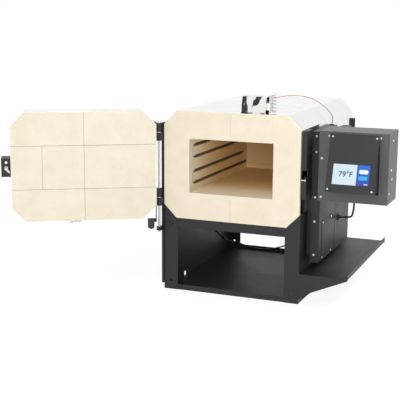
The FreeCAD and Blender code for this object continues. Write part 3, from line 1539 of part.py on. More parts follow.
PARTS = [
    lambda: make_deck_bricks("floor_bricks", MUFFLE_BASE, True),
    lambda: make_deck_bricks("roof_bricks", CHAMBER_ROOF, False, cylinder(
        d.probe_diameter + 1, (PROBE_X.value, PROBE_Y.value, CHAMBER_ROOF.value - 5), (0, 0, 1), 100)),
    lambda: make_wall_bricks("left_wall_bricks", -1),
    lambda: make_wall_bricks("right_wall_bricks", 1),
    make_rear_bricks,
    lambda: make_element("left_element", -1),
    lambda: make_element("right_element", 1),
    make_bushings,
    make_terminals,
    lambda: make_jacket("front_jacket", FRONT + d.jacket_setback,
                        FRONT + d.course_length - d.seam_gap, probe_hole=True),
    lambda: make_jacket("rear_jacket", FRONT + d.course_length, JACKET_BACK),
    make_rear_panel,
    make_rear_cover,
    make_thermocouple_cover,
    make_probe,
    make_probe_head,
    make_probe_terminals,
    lambda: make_side("stand_left_side", -1),
    lambda: make_side("stand_right_side", 1),
    lambda: make_rail("front_rail", True),
    lambda: make_rail("rear_rail", False),
    make_floor_plate,
    make_rail_plate,
    make_shelf,
    make_hinge_post,
    make_hinge_brackets,
    make_hinge_rod,
    make_hinge_washers,
    make_door_bricks,
    make_door_band,
    make_door_back,
    make_door_leaves,
    make_bumper,
    make_band_clamp,
    make_latch_bracket,
    make_latch_finger,
    make_latch_handle,
    make_latch_post,
    make_strike_pin,
    make_side_enclosure,
    make_vent_plate,
    make_relay_box,
    make_relay,
    make_standoffs,
    make_control_rear,
    make_control_front,
    make_panel_frame,
    make_panel_face,
    make_screen,
    make_board,
    make_ears,
    make_pivots,
    make_switch_body,
    make_plunger,
    make_cords,
    make_cable_fittings,
    make_case_screws,
    make_panel_screws,
]


def write_parts():
    document.recompute()
    for item in document.Objects:
        if "Invalid" in item.State or "Error" in item.State:
            raise ValueError(f"{item.Name} did not build: {item.State}")
    for item in made:
        if item.Shape.isNull() or not item.Shape.isValid():
            raise ValueError(f"{item.Label} has no sound shape")
    os.makedirs("parts", exist_ok=True)
    for item in made:
        item.Shape.exportStep(f"parts/{item.Label}.step")
        print(f"{item.Label}: {len(item.Shape.Solids)} solids, {item.Shape.Volume / 1000:.1f} cm3")


for make in PARTS:
    make()
write_parts()
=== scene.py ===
"""Looks for a heat treating oven: finishes, coiled elements, cords, a rivet, the screen and the stage."""
import json
import math

import bmesh
import bpy
from mathutils import Matrix, Vector


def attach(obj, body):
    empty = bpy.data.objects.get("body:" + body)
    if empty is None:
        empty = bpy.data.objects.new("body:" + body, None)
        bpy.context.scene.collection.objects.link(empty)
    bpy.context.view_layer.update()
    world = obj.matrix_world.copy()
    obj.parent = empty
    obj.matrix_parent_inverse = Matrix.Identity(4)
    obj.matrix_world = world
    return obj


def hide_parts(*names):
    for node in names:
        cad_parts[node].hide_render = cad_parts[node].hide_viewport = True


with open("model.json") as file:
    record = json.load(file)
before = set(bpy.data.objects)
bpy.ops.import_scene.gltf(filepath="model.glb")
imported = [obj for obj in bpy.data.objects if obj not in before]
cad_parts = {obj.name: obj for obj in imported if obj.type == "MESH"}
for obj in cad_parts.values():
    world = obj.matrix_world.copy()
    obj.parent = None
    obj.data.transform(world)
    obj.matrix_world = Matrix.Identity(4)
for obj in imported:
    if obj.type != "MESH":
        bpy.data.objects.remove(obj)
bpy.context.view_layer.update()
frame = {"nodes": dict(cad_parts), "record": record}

bl_info = {
    "name": "Heat treating oven",
    "version": (1, 0, 0),
    "blender": (4, 5, 0),
    "location": "View3D > Sidebar > Oven",
    "description": "Finishes and fine pieces for a bench-top heat treating oven",
    "category": "Object",
}

MM = 0.001
COIL_STEPS = 12

# The door turns about this line, and is drawn shut before it is turned to rest
HINGE = Vector((-0.1999, -0.2674, 0.0))
DOOR_ANGLE = math.radians(-148.9)
DOOR_X = Vector((math.cos(DOOR_ANGLE), math.sin(DOOR_ANGLE), 0.0))
DOOR_Y = Vector((-math.sin(DOOR_ANGLE), math.cos(DOOR_ANGLE), 0.0))

# The control panel is drawn shut too, and tilts out about its upper pivots
PANEL_PIVOT = Vector((0.32275, -0.2227, 0.4453))
PANEL_ANGLE = math.radians(-18.3)
PANEL_PLACE = (Matrix.Translation(PANEL_PIVOT) @ Matrix.Rotation(PANEL_ANGLE, 4, "X")
               @ Matrix.Translation(-PANEL_PIVOT))

MUFFLE_BASE = 0.203
BRICK_FRONT = -0.254

# The elements: their distance from the middle, the coil's radius and the plain wire between coils
COIL_X = 0.1221
COIL_RADIUS = 0.004
PLAIN_WIRE_RADIUS = 0.0015
LINK_BEND = 0.006
LINK_START = 0.013
COIL_START = 0.012
OUTER_RUN = 0.0515
INNER_RUN = 0.0195

# The two yarns of the thermocouple wire's sleeve
SLEEVE_COLORS = (0.4, 0.21, 0.15), (0.66, 0.46, 0.38)

THERMOCOUPLE_ROUTE = [
    (107.0, -211.0, 535.0), (123.0, -202.0, 538.5), (141.0, -188.5, 540.5), (158.0, -172.0, 539.5),
    (174.0, -156.0, 535.5), (188.0, -139.0, 528.0), (201.0, -122.5, 517.5), (212.5, -105.0, 504.0),
    (220.5, -88.0, 489.5), (223.5, -72.0, 477.0), (220.5, -58.0, 467.5), (216.0, -48.5, 461.5),
    (215.0, -46.0, 453.5)]
SUPPLY_ROUTE = [
    (239.0, -6.0, 190.0), (248.1, -6.0, 190.0), (258.4, -9.2, 191.5), (267.0, -15.2, 194.2),
    (273.1, -23.5, 198.0), (278.1, -40.4, 204.1), (286.1, -67.7, 214.9), (293.7, -93.8, 228.6),
    (298.3, -109.5, 237.7), (300.4, -116.6, 243.9), (301.8, -121.6, 251.9), (302.6, -124.2, 261.1),
    (302.6, -124.2, 269.5)]
SWITCH_ROUTE = [
    (-177.5, -221.0, 184.0), (-177.5, -207.0, 184.0), (-180.0, -191.0, 181.5), (-185.0, -163.0, 175.0),
    (-187.6, -115.0, 165.0), (-187.4, -60.0, 152.0), (-187.6, -5.0, 138.0), (-187.4, 48.0, 121.0),
    (-187.6, 92.0, 101.0), (-187.4, 133.0, 79.0), (-187.6, 172.0, 58.0), (-187.4, 202.0, 41.0),
    (-181.5, 218.0, 32.0), (-169.0, 225.5, 27.5), (-150.0, 226.0, 25.0), (-130.0, 221.0, 21.0),
    (-100.0, 216.0, 16.0), (-68.0, 214.0, 14.0), (-36.0, 215.0, 18.0), (-6.0, 217.0, 27.0),
    (26.0, 219.0, 40.0), (58.0, 220.5, 55.0), (92.0, 221.5, 71.0), (126.0, 221.0, 86.5),
    (158.0, 221.5, 98.0), (176.0, 221.0, 101.0), (188.0, 221.0, 101.0)]


# Shader nodes written as expressions

class Wire:
    """An output socket in a material, with the usual operators for its value."""

    def __init__(self, surface, socket):
        self.surface = surface
        self.socket = socket

    def math(self, operation, *others, first=True, clamp=False):
        values = (self, *others) if first else (*others, self)
        return self.surface.node(
            "ShaderNodeMath", {"operation": operation, "use_clamp": clamp}, dict(enumerate(values)))

    def __add__(self, other):
        return self.math("ADD", other)

    def __sub__(self, other):
        return self.math("SUBTRACT", other)

    def __rsub__(self, other):
        return self.math("SUBTRACT", other, first=False)

    def __mul__(self, other):
        return self.math("MULTIPLY", other)

    def __truediv__(self, other):
        return self.math("DIVIDE", other)

    def __lt__(self, other):
        return self.math("LESS_THAN", other)

    def __gt__(self, other):
        return self.math("GREATER_THAN", other)

    def __abs__(self):
        return self.math("ABSOLUTE")

    __radd__ = __add__
    __rmul__ = __mul__

    def clamped(self):
        return self.math("ADD", 0.0, clamp=True)

    def fade(self, low, high):
        """0 at low, 1 at high, with a straight slope between."""
        return ((self - low) / (high - low)).clamped()


def socket_name(key):
    return key.replace("_", " ").title().replace("Ior", "IOR")


class Surface:
    """A material being made: its nodes, and the principled shader they end in."""

    def __init__(self, name, color, roughness, metallic=0.0, **constants):
        self.material = bpy.data.materials.new(name)
        self.material.use_nodes = True
        self.tree = self.material.node_tree
        self.shader = self.tree.nodes["Principled BSDF"]
        self.shader.inputs["Base Color"].default_value = (*color, 1.0)
        self.shader.inputs["Roughness"].default_value = roughness
        self.shader.inputs["Metallic"].default_value = metallic
        for key, value in constants.items():
            self.shader.inputs[socket_name(key)].default_value = value
        self.place = self.node("ShaderNodeTexCoord", output="Object")

    def node(self, kind, settings=None, inputs=None, output=0):
        node = self.tree.nodes.new(kind)
        for key, value in (settings or {}).items():
            setattr(node, key, value)
        for key, value in (inputs or {}).items():
            if isinstance(value, Wire):
                self.tree.links.new(value.socket, node.inputs[key])
            else:
                node.inputs[key].default_value = value
        return Wire(self, node.outputs[output])

    def axis(self, direction, origin=(0.0, 0.0, 0.0)):
        """Distance along a direction from a point, in metres."""
        offset = self.node("ShaderNodeVectorMath", {"operation": "SUBTRACT"}, {0: self.place, 1: origin})
        return self.node("ShaderNodeVectorMath", {"operation": "DOT_PRODUCT"},
                         {0: offset, 1: direction}, output="Value")

    def noise(self, size, detail=3.0, roughness=0.55, stretch=None):
        """Smooth noise whose features are about this size in metres."""
        place = self.place
        if stretch:
            place = self.node("ShaderNodeMapping", None, {"Vector": place, "Scale": stretch})
        return self.node("ShaderNodeTexNoise", None, {
            "Vector": place, "Scale": 1.0 / size, "Detail": detail, "Roughness": roughness})

    def cells(self, size):
        """Distance to the nearest of many scattered points, about this size apart."""
        return self.node("ShaderNodeTexVoronoi", None, {"Vector": self.place, "Scale": 1.0 / size})

    def mix(self, mask, first, second):
        """Colour: first where the mask is 0, second where it is 1."""
        sides = {}
        for key, side in ((6, first), (7, second)):
            sides[key] = side if isinstance(side, Wire) else (*side, 1.0)
        return self.node("ShaderNodeMix", {"data_type": "RGBA"}, {0: mask, **sides}, output=2)

    def feed(self, **wires):
        for key, wire in wires.items():
            self.tree.links.new(wire.socket, self.shader.inputs[socket_name(key)])
        return self

    def bump(self, height, distance, strength=1.0):
        normal = self.node("ShaderNodeBump", None, {
            "Height": height, "Distance": distance, "Strength": strength})
        self.tree.links.new(normal.socket, self.shader.inputs["Normal"])
        return self


def joint_line(distance, half_width=0.00045):
    """1 in the thin line where a distance is near zero."""
    return abs(distance) < half_width


def brick_surface(name, color, joint_masks, tan_tint_and_mouth_light=None, joint_share=0.3):
    """Soft insulating firebrick: pale, pitted, faintly mottled, with thin joints."""
    surface = Surface(name, color, 0.92, specular_ior_level=0.2)
    mottle = surface.noise(0.035, 4.0).fade(0.35, 0.7)
    shade = tuple(channel * factor for channel, factor in zip(color, (0.93, 0.9, 0.84)))
    base = surface.mix(mottle * 0.6, color, shade)
    grains = surface.noise(0.0011, 2.0)
    speck = (surface.cells(0.0042) < 0.16) * (surface.noise(0.011) > 0.52)
    base = surface.mix(speck * 0.45, base, tuple(channel * 0.55 for channel in color))
    # Painted light: the tint passed in fades out towards the oven's mouth, which stays pale as if lit by the
    # lamp above the front; the fade is a painted shadow edge of the roof.
    if tan_tint_and_mouth_light:
        depth, tint = tan_tint_and_mouth_light
        base = surface.mix(depth(surface), base, tint)
    height = grains * 0.35 - speck * 0.7
    for make_mask in joint_masks:
        mask = make_mask(surface)
        base = surface.mix(mask * joint_share, base, tuple(channel * 0.5 for channel in color))
        height = height - mask * 1.4
    return surface.feed(base_color=base).bump(height, 0.0006).material


def mouth_light_fade(surface):
    """How far the chamber's tan tint has come on, from the mouth to the back: the pale mouth is a painted
    pool of light from the lamp above the front, and the fade is the roof's shadow edge, painted.
    """
    return surface.axis((0, 1, 0)).fade(-0.252, -0.03) * 0.85


def level_joint(height):
    return lambda surface: joint_line(surface.axis((0, 0, 1)) - height)


def middle_joint(surface):
    return joint_line(surface.axis((1, 0, 0)))


def course_joint(surface):
    return joint_line(surface.axis((0, 1, 0)) - (BRICK_FRONT + 0.2285))


def door_joint(offset, low=-1.0, high=9.0):
    """A joint that runs up the door, at this X of the shut door, between two heights."""
    def mask(surface):
        across = surface.axis(DOOR_X[:], HINGE[:]) + (HINGE.x - offset)
        up = surface.axis((0, 0, 1))
        return joint_line(across) * (up > low) * (up < high)
    return mask


def powder_coat(name, color, grain=0.0007):
    """Black powder coat: a fine orange-peel texture and a low, broken sheen."""
    surface = Surface(name, color, 0.5, specular_ior_level=0.45)
    peel = surface.noise(grain, 2.0)
    cloud = surface.noise(0.09, 3.0)
    dust = surface.noise(0.004, 5.0, 0.7).fade(0.56, 0.75)
    base = surface.mix(dust * 0.22, color, tuple(channel * 1.9 + 0.012 for channel in color))
    return surface.feed(base_color=base, roughness=0.42 + cloud * 0.16).bump(peel, 0.00012, 0.7).material


def polished_sheet():
    """Mirror-finished stainless sheet with faint rolling marks, smudges and a slow waviness."""
    surface = Surface("polished_sheet", (0.80, 0.80, 0.79), 0.12, 1.0)
    marks = surface.noise(0.0009, 2.0, stretch=(1.0, 0.02, 1.0))
    smudge = surface.noise(0.07, 5.0, 0.65).fade(0.42, 0.75)
    sag = surface.noise(0.22, 1.0)
    surface.feed(roughness=0.09 + smudge * 0.12 + marks * 0.05,
                 base_color=surface.mix(smudge * 0.5, (0.83, 0.83, 0.82), (0.72, 0.71, 0.69)))
    return surface.bump(sag + marks * 0.01, 0.004, 0.25).material


def mirror_sheet():
    """Bent mirror sheet: light and dark patches, as a room reflected in small folds."""
    surface = Surface("mirror_sheet", (0.8, 0.8, 0.79), 0.1, 1.0)
    patch = surface.noise(0.018, 1.0, stretch=(1.0, 1.0, 0.4)).fade(0.47, 0.53)
    smudge = surface.noise(0.02, 4.0)
    surface.feed(base_color=surface.mix(patch, (0.05, 0.05, 0.05), (0.85, 0.85, 0.84)),
                 roughness=0.07 + smudge * 0.1)
    return surface.bump(smudge, 0.0002, 0.2).material


def plated_metal(name, color, roughness=0.3):
    """Plated or turned metal with fine scratches and dulled patches."""
    surface = Surface(name, color, roughness, 1.0)
    dull = surface.noise(0.006, 4.0).fade(0.4, 0.7)
    scratch = surface.noise(0.0006, 2.0, stretch=(1.0, 1.0, 0.05))
    surface.feed(roughness=roughness - 0.06 + dull * 0.16 + scratch * 0.08,
                 base_color=surface.mix(dull * 0.4, color, tuple(channel * 0.7 for channel in color)))
    return surface.bump(scratch, 0.00004, 0.6).material


def moulded(name, color, roughness=0.55):
    """Moulded plastic or rubber: a leather-fine grain with slight scuffs."""
    surface = Surface(name, color, roughness)
    grain = surface.noise(0.0005, 1.0)
    scuff = surface.noise(0.008, 5.0, 0.7).fade(0.55, 0.8)
    surface.feed(roughness=roughness + scuff * 0.2,
                 base_color=surface.mix(scuff * 0.3, color, tuple(channel * 1.5 + 0.02 for channel in color)))
    return surface.bump(grain, 0.00005, 0.6).material


def white_ceramic():
    surface = Surface("white_ceramic", (0.86, 0.84, 0.79), 0.4)
    stain = surface.noise(0.009, 4.0).fade(0.5, 0.75)
    surface.feed(base_color=surface.mix(stain * 0.35, (0.88, 0.86, 0.81), (0.7, 0.63, 0.52)))
    return surface.bump(surface.noise(0.0008), 0.00006).material


def element_wire():
    """Resistance wire darkened by heat, brown with paler scale."""
    surface = Surface("element_wire", (0.085, 0.05, 0.03), 0.7, 0.35)
    scale = surface.noise(0.003, 4.0).fade(0.4, 0.7)
    surface.feed(base_color=surface.mix(scale, (0.07, 0.042, 0.026), (0.2, 0.13, 0.08)))
    return surface.bump(surface.noise(0.0006), 0.00008).material


def braided(name, dark, light):
    """Woven glass sleeving: two colours of yarn crossing on a fine slant."""
    surface = Surface(name, dark, 0.75)
    along = surface.node("ShaderNodeTexWave", {"bands_direction": "DIAGONAL"}, {
        "Vector": surface.place, "Scale": 420.0, "Distortion": 2.0})
    surface.feed(base_color=surface.mix(along, dark, light))
    return surface.bump(along, 0.0002).material


def circuit_green():
    surface = Surface("circuit_green", (0.03, 0.14, 0.06), 0.4)
    tracks = surface.cells(0.006) < 0.25
    surface.feed(base_color=surface.mix(tracks * 0.5, (0.03, 0.14, 0.06), (0.35, 0.32, 0.1)))
    return surface.material


def lit(name, color, strength):
    """A lit part of the screen's picture."""
    surface = Surface(name, color, 0.2, coat_weight=0.5)
    glow = surface.noise(0.05, 1.0) * 0.04 + 0.96
    tinted = surface.mix(glow, tuple(channel * 0.9 for channel in color), color)
    surface.feed(emission_color=tinted, base_color=tinted)
    surface.shader.inputs["Emission Strength"].default_value = strength
    return surface.material


def lit_blue():
    """The screen's blue field, deeper towards its foot."""
    surface = Surface("lit_blue", (0.2, 0.5, 0.8), 0.2, coat_weight=0.5)
    high = surface.axis((0, 0, 1)).fade(0.318, 0.368)
    tinted = surface.mix(high, (0.006, 0.012, 0.2), (0.002, 0.075, 0.42))
    surface.feed(emission_color=tinted, base_color=tinted)
    surface.shader.inputs["Emission Strength"].default_value = 0.45
    return surface.material


# Mesh and curve helpers

def finish_mesh(shape, name, body, material, smooth=True):
    """Turn a bmesh into a piece that rides on a body and takes a slot's finish."""
    mesh = bpy.data.meshes.new(name)
    bmesh.ops.recalc_face_normals(shape, faces=shape.faces)
    shape.to_mesh(mesh)
    shape.free()
    mesh.materials.append(material)
    if smooth:
        mesh.shade_smooth()
    piece = bpy.data.objects.new(name, mesh)
    bpy.context.scene.collection.objects.link(piece)
    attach(piece, body)
    return piece


def route_curve(name, route, diameter):
    """A cord's smooth line through a route given in millimetres."""
    curve = bpy.data.curves.new(name, "CURVE")
    curve.dimensions = "3D"
    spline = curve.splines.new("NURBS")
    spline.points.add(len(route) - 1)
    for point, place in zip(spline.points, route):
        point.co = (*(value * MM for value in place), 1.0)
    spline.order_u = 3
    spline.use_endpoint_u = True
    spline.resolution_u = 8
    curve.bevel_depth = diameter / 2
    curve.bevel_resolution = 4
    curve.use_fill_caps = True
    piece = bpy.data.objects.new(name, curve)
    bpy.context.scene.collection.objects.link(piece)
    return piece


def add_cord(name, node, route, diameter, material):
    piece = route_curve(name, route, diameter)
    piece.data.materials.append(material)
    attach(piece, "oven")
    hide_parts(node)
    return piece


def one_coil(length, coil_radius, wire_radius, turns):
    """A coil of wire along Y from the origin: one turn is swept, and repeated by an array."""
    shape = bmesh.new()
    ring = bmesh.ops.create_circle(shape, segments=6, radius=wire_radius)["verts"]
    bmesh.ops.translate(shape, vec=(coil_radius, 0, 0), verts=ring)
    pitch = length / turns
    bmesh.ops.spin(shape, geom=shape.verts[:] + shape.edges[:], cent=(0, 0, 0), axis=(0, 1, 0),
                   dvec=(0, pitch / COIL_STEPS, 0), angle=math.tau, steps=COIL_STEPS, use_merge=False)
    bmesh.ops.recalc_face_normals(shape, faces=shape.faces)
    mesh = bpy.data.meshes.new("turn")
    shape.to_mesh(mesh)
    shape.free()
    holder = bpy.data.objects.new("turn", mesh)
    bpy.context.scene.collection.objects.link(holder)
    array = holder.modifiers.new("turns", "ARRAY")
    array.count = turns
    array.use_relative_offset = False
    array.use_constant_offset = True
    array.constant_offset_displace = (0, pitch, 0)
    array.use_merge_vertices = True
    array.merge_threshold = 0.00001
    bpy.context.view_layer.update()
    coil = bpy.data.meshes.new_from_object(holder.evaluated_get(bpy.context.evaluated_depsgraph_get()))
    bpy.data.objects.remove(holder)
    bpy.data.meshes.remove(mesh)
    return coil


def add_tube(shape, points, radius, bend):
    """A round wire through the points, made as a curve and added to the bmesh."""
    curve = bpy.data.curves.new("wire", "CURVE")
    curve.dimensions = "3D"
    spline = curve.splines.new("NURBS")
    spline.points.add(len(points) - 1)
    for point, place in zip(spline.points, points):
        point.co = (*place, 1.0)
    spline.order_u = 3
    spline.use_endpoint_u = True
    spline.resolution_u = bend
    curve.bevel_depth = radius
    curve.bevel_resolution = 2
    curve.use_fill_caps = True
    holder = bpy.data.objects.new("wire", curve)
    bpy.context.scene.collection.objects.link(holder)
    bpy.context.view_layer.update()
    mesh = bpy.data.meshes.new_from_object(holder.evaluated_get(bpy.context.evaluated_depsgraph_get()))
    shape.from_mesh(mesh)
    bpy.data.objects.remove(holder)
    bpy.data.curves.remove(curve)
    bpy.data.meshes.remove(mesh)


def rounded_plate(shape, x0, x1, z0, z1, y, thickness, radius):
    """A thin plate with round corners, standing in a plane of constant Y."""
    corners = [shape.verts.new((x, y, z)) for x, z in ((x0, z0), (x1, z0), (x1, z1), (x0, z1))]
    shape.faces.new(corners)
    if radius:
        bmesh.ops.bevel(shape, geom=corners, offset=radius, segments=5, profile=0.5, affect="VERTICES",
                        material=-1)
    grown = bmesh.ops.extrude_face_region(shape, geom=shape.faces[:])["geom"]
    moved = [item for item in grown if isinstance(item, bmesh.types.BMVert)]
    bmesh.ops.translate(shape, vec=(0, -thickness, 0), verts=moved)


# What a user may change

class OvenSizes(bpy.types.PropertyGroup):
    """Sizes and colours of the fine pieces."""

    coil_turns: bpy.props.IntProperty(
        name="Coil turns", description="Turns along each run of an element", default=92, min=10)
    coil_wire: bpy.props.FloatProperty(
        name="Coil wire", description="Diameter of the element wire", default=0.0020, unit="LENGTH")
    brick_color: bpy.props.FloatVectorProperty(
        name="Brick", description="Colour of the muffle's bricks", subtype="COLOR", size=3,
        default=(0.82, 0.735, 0.595))
    door_color: bpy.props.FloatVectorProperty(
        name="Door brick", description="Colour of the door's bricks", subtype="COLOR", size=3,
        default=(0.80, 0.735, 0.60))
    chamber_color: bpy.props.FloatVectorProperty(
        name="Chamber", description="Colour of the heated bricks inside", subtype="COLOR", size=3,
        default=(0.94, 0.66, 0.31))
    coat_color: bpy.props.FloatVectorProperty(
        name="Powder coat", description="Colour of the coated sheet", subtype="COLOR", size=3,
        default=(0.0115, 0.0118, 0.0122))
    key_power: bpy.props.FloatProperty(
        name="Key light", description="Strength of the lamp above the front", default=18.0, subtype="POWER")


def sizes():
    return bpy.context.scene.oven_sizes


class OVEN_OT_cords(bpy.types.Operator):
    """Make the thermocouple wire and the two cables"""

    bl_idname = "oven.cords"
    bl_label = "Cords"

    def execute(self, context):
        rubber = moulded("cable_rubber", (0.018, 0.018, 0.019), 0.45)
        sleeve = braided("wire_sleeve", *SLEEVE_COLORS)
        add_cord("thermocouple_lead", "thermocouple_wire", THERMOCOUPLE_ROUTE, 0.0022, sleeve)
        add_cord("supply_lead", "supply_cable", SUPPLY_ROUTE, 0.0055, rubber)
        add_cord("switch_lead", "switch_cable", SWITCH_ROUTE, 0.0046, rubber)
        return {"FINISHED"}


class OVEN_OT_elements(bpy.types.Operator):
    """Wind the coils of the two heating elements"""

    bl_idname = "oven.elements"
    bl_label = "Heating elements"

    def execute(self, context):
        wire = element_wire()
        middle = MUFFLE_BASE + 0.145
        levels = [middle + OUTER_RUN, middle + INNER_RUN, middle - INNER_RUN, middle - OUTER_RUN]
        front = BRICK_FRONT + 0.026
        chamber_back = BRICK_FRONT + 0.457
        rear = chamber_back - 0.026
        tail = BRICK_FRONT + 0.533 + 0.024
        radius = sizes().coil_wire / 2
        for name, side in (("left", -1), ("right", 1)):
            x = side * COIL_X
            link = side * (COIL_X - COIL_RADIUS + radius)
            shape = bmesh.new()
            for index, level in enumerate(levels):
                end = chamber_back - 0.001 if index in (0, 3) else rear - COIL_START
                coil = one_coil(end - front - COIL_START, COIL_RADIUS - radius, radius, sizes().coil_turns)
                coil.transform(Matrix.Translation((x, front + COIL_START, level)))
                shape.from_mesh(coil)
                bpy.data.meshes.remove(coil)
            for y, high, low, way in ((front, 0, 1, 1), (front, 2, 3, 1), (rear, 1, 2, -1)):
                upper, lower = levels[high], levels[low]
                points = [(link, y + way * LINK_START, upper), (link, y + way * LINK_BEND, upper),
                          (link, y, upper), (link, y, upper - LINK_BEND), (link, y, lower + LINK_BEND),
                          (link, y, lower), (link, y + way * LINK_BEND, lower),
                          (link, y + way * LINK_START, lower)]
                add_tube(shape, points, PLAIN_WIRE_RADIUS, 4)
            for level in (levels[0], levels[3]):
                add_tube(shape, [(x, chamber_back - 0.003, level), (x, chamber_back + 0.03, level),
                                 (x, tail, level)], PLAIN_WIRE_RADIUS, 2)
            piece = finish_mesh(shape, f"{name}_coils", "oven", wire)
            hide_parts(f"{name}_element")
        return {"FINISHED"}


class OVEN_OT_rivet(bpy.types.Operator):
    """Set the bright rivet head on the latch's bracket"""

    bl_idname = "oven.rivet"
    bl_label = "Rivet"

    def execute(self, context):
        radius = 0.0036
        shape = bmesh.new()
        bmesh.ops.create_cone(shape, cap_ends=True, segments=32, radius1=radius, radius2=radius, depth=0.0018)
        rim = [edge for edge in shape.edges if all(vert.co.z > 0 for vert in edge.verts)]
        bmesh.ops.bevel(shape, geom=rim, offset=0.0004, segments=3, profile=0.5, affect="EDGES")
        shut = Matrix.Translation((0.2035, -0.25905, 0.362)) @ Matrix.Rotation(math.radians(-90), 4, "X")
        swing = (Matrix.Translation(HINGE) @ Matrix.Rotation(DOOR_ANGLE, 4, "Z")
                 @ Matrix.Translation(-HINGE))
        bmesh.ops.transform(shape, matrix=swing @ shut, verts=shape.verts)
        finish_mesh(shape, "latch_bracket_rivet", "door",
                    plated_metal("rivet_steel", (0.7, 0.7, 0.69)))
        return {"FINISHED"}


class OVEN_OT_screen(bpy.types.Operator):
    """Lay out the picture on the touch screen"""

    bl_idname = "oven.screen"
    bl_label = "Screen"

    def execute(self, context):
        front = -0.254 + 0.0333 - 0.007 + 0.0003
        left, right = 0.27525, 0.37025
        low, high = 0.3213, 0.3753
        split = left + 0.0617
        plates = [
            ("screen_field", left + 0.001, right - 0.001, low + 0.001, high - 0.001, 0.0, 0.05, lit_blue()),
            ("screen_sheet", left + 0.001, split, low + 0.001, high - 0.001, 0.0, 0.1,
             lit("lit_white", (0.40, 0.49, 0.55), 0.5)),
            ("screen_button_upper", right - 0.0272, right - 0.0045, high - 0.0228, high - 0.0126, 0.003, 0.1,
             lit("lit_pale", (0.5, 0.61, 0.66), 0.5)),
            ("screen_button_lower", right - 0.0282, right - 0.0055, high - 0.0388, high - 0.0289, 0.003, 0.1,
             lit("lit_cyan", (0.01, 0.26, 0.52), 0.6)),
            ("screen_bar", right - 0.013, right - 0.004, low + 0.004, low + 0.006, 0.0, 0.1,
             lit("lit_bar", (0.55, 0.6, 0.65), 0.5))]
        for name, x0, x1, z0, z1, radius, thickness, material in plates:
            shape = bmesh.new()
            rounded_plate(shape, x0, x1, z0, z1, front, thickness * MM, radius)
            bmesh.ops.transform(shape, matrix=PANEL_PLACE, verts=shape.verts)
            finish_mesh(shape, name, "panel", material, smooth=False)
        ink = lit("lit_ink", (0.015, 0.05, 0.1), 0.05)
        name = "screen_reading"
        text = bpy.data.curves.new(name, "FONT")
        text.body = "79°F"
        text.size = 0.0195
        text.offset = 0.0003
        text.extrude = 0.00003
        holder = bpy.data.objects.new(name, text)
        bpy.context.scene.collection.objects.link(holder)
        bpy.context.view_layer.update()
        mesh = bpy.data.meshes.new_from_object(holder.evaluated_get(bpy.context.evaluated_depsgraph_get()))
        bpy.data.objects.remove(holder)
        place = Matrix.Translation((left + 0.0155, front - 0.00013, low + 0.0216))
        mesh.transform(PANEL_PLACE @ place @ Matrix.Rotation(math.radians(90), 4, "X"))
        mesh.materials.clear()
        mesh.materials.append(ink)
        piece = bpy.data.objects.new(name, mesh)
        bpy.context.scene.collection.objects.link(piece)
        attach(piece, "panel")
        return {"FINISHED"}


class OVEN_OT_finishes(bpy.types.Operator):
    """Give every CAD node its finish"""

    bl_idname = "oven.finishes"
    bl_label = "Finishes"

    def execute(self, context):
        brick = tuple(sizes().brick_color)
        chamber = tuple(sizes().chamber_color)
        door = tuple(sizes().door_color)
        coat = tuple(sizes().coat_color)
        low_row, high_row = MUFFLE_BASE + 0.086, MUFFLE_BASE + 0.202
        # The chamber's tan tint, faded out towards the mouth: the pale mouth is painted light, and the fade
        # is the roof's painted shadow edge.
        tan_tint_and_mouth_light = (mouth_light_fade, chamber)
        deck = brick_surface("muffle_deck_brick", brick, [middle_joint, course_joint], tan_tint_and_mouth_light)
        wall = brick_surface("muffle_wall_brick", brick, [course_joint], tan_tint_and_mouth_light)
        rear = brick_surface("muffle_rear_brick", brick, [level_joint(low_row), level_joint(high_row)], tan_tint_and_mouth_light)
        hung = brick_surface("door_brick", door, [
            level_joint(low_row), level_joint(high_row), door_joint(0.0),
            door_joint(0.110, low_row, high_row)], joint_share=0.95)
        finishes = {
            "resistance_wire": element_wire(),
            "white_ceramic": white_ceramic(),
            "brass": plated_metal("brass", (0.62, 0.45, 0.2)),
            "polished_steel": polished_sheet(),
            "plated_steel": plated_metal("plated_steel", (0.6, 0.6, 0.59)),
            "black_powder": powder_coat("black_powder", coat),
            "box_powder": powder_coat("box_powder", tuple(channel * 6.5 for channel in coat)),
            "black_plastic": moulded("black_plastic", (0.015, 0.015, 0.016)),
            "face_plate": powder_coat("face_plate", (0.007, 0.007, 0.008), 0.0004),
            "screen_glass": moulded("screen_glass", (0.02, 0.03, 0.04), 0.12),
            "circuit_board": circuit_green(),
            "wire_red": braided("wire_red", *SLEEVE_COLORS),
            "cable_black": moulded("cable_black", (0.018, 0.018, 0.019)),
        }
        special = {"floor_bricks": deck, "roof_bricks": deck, "left_wall_bricks": wall,
                   "right_wall_bricks": wall, "rear_wall_bricks": rear, "door_bricks": hung,
                   "thermocouple_cover": mirror_sheet(), "door_switch": finishes["black_plastic"]}
        for name in ("control_box_front", "control_box_rear", "panel_ears"):
            special[name] = finishes["box_powder"]
        for part in frame["record"]["subparts"]:
            name = part["node"]
            finish = special.get(name) or finishes[part["material_slot"]]
            for slot in frame["nodes"][name].material_slots:
                slot.material = finish
        return {"FINISHED"}


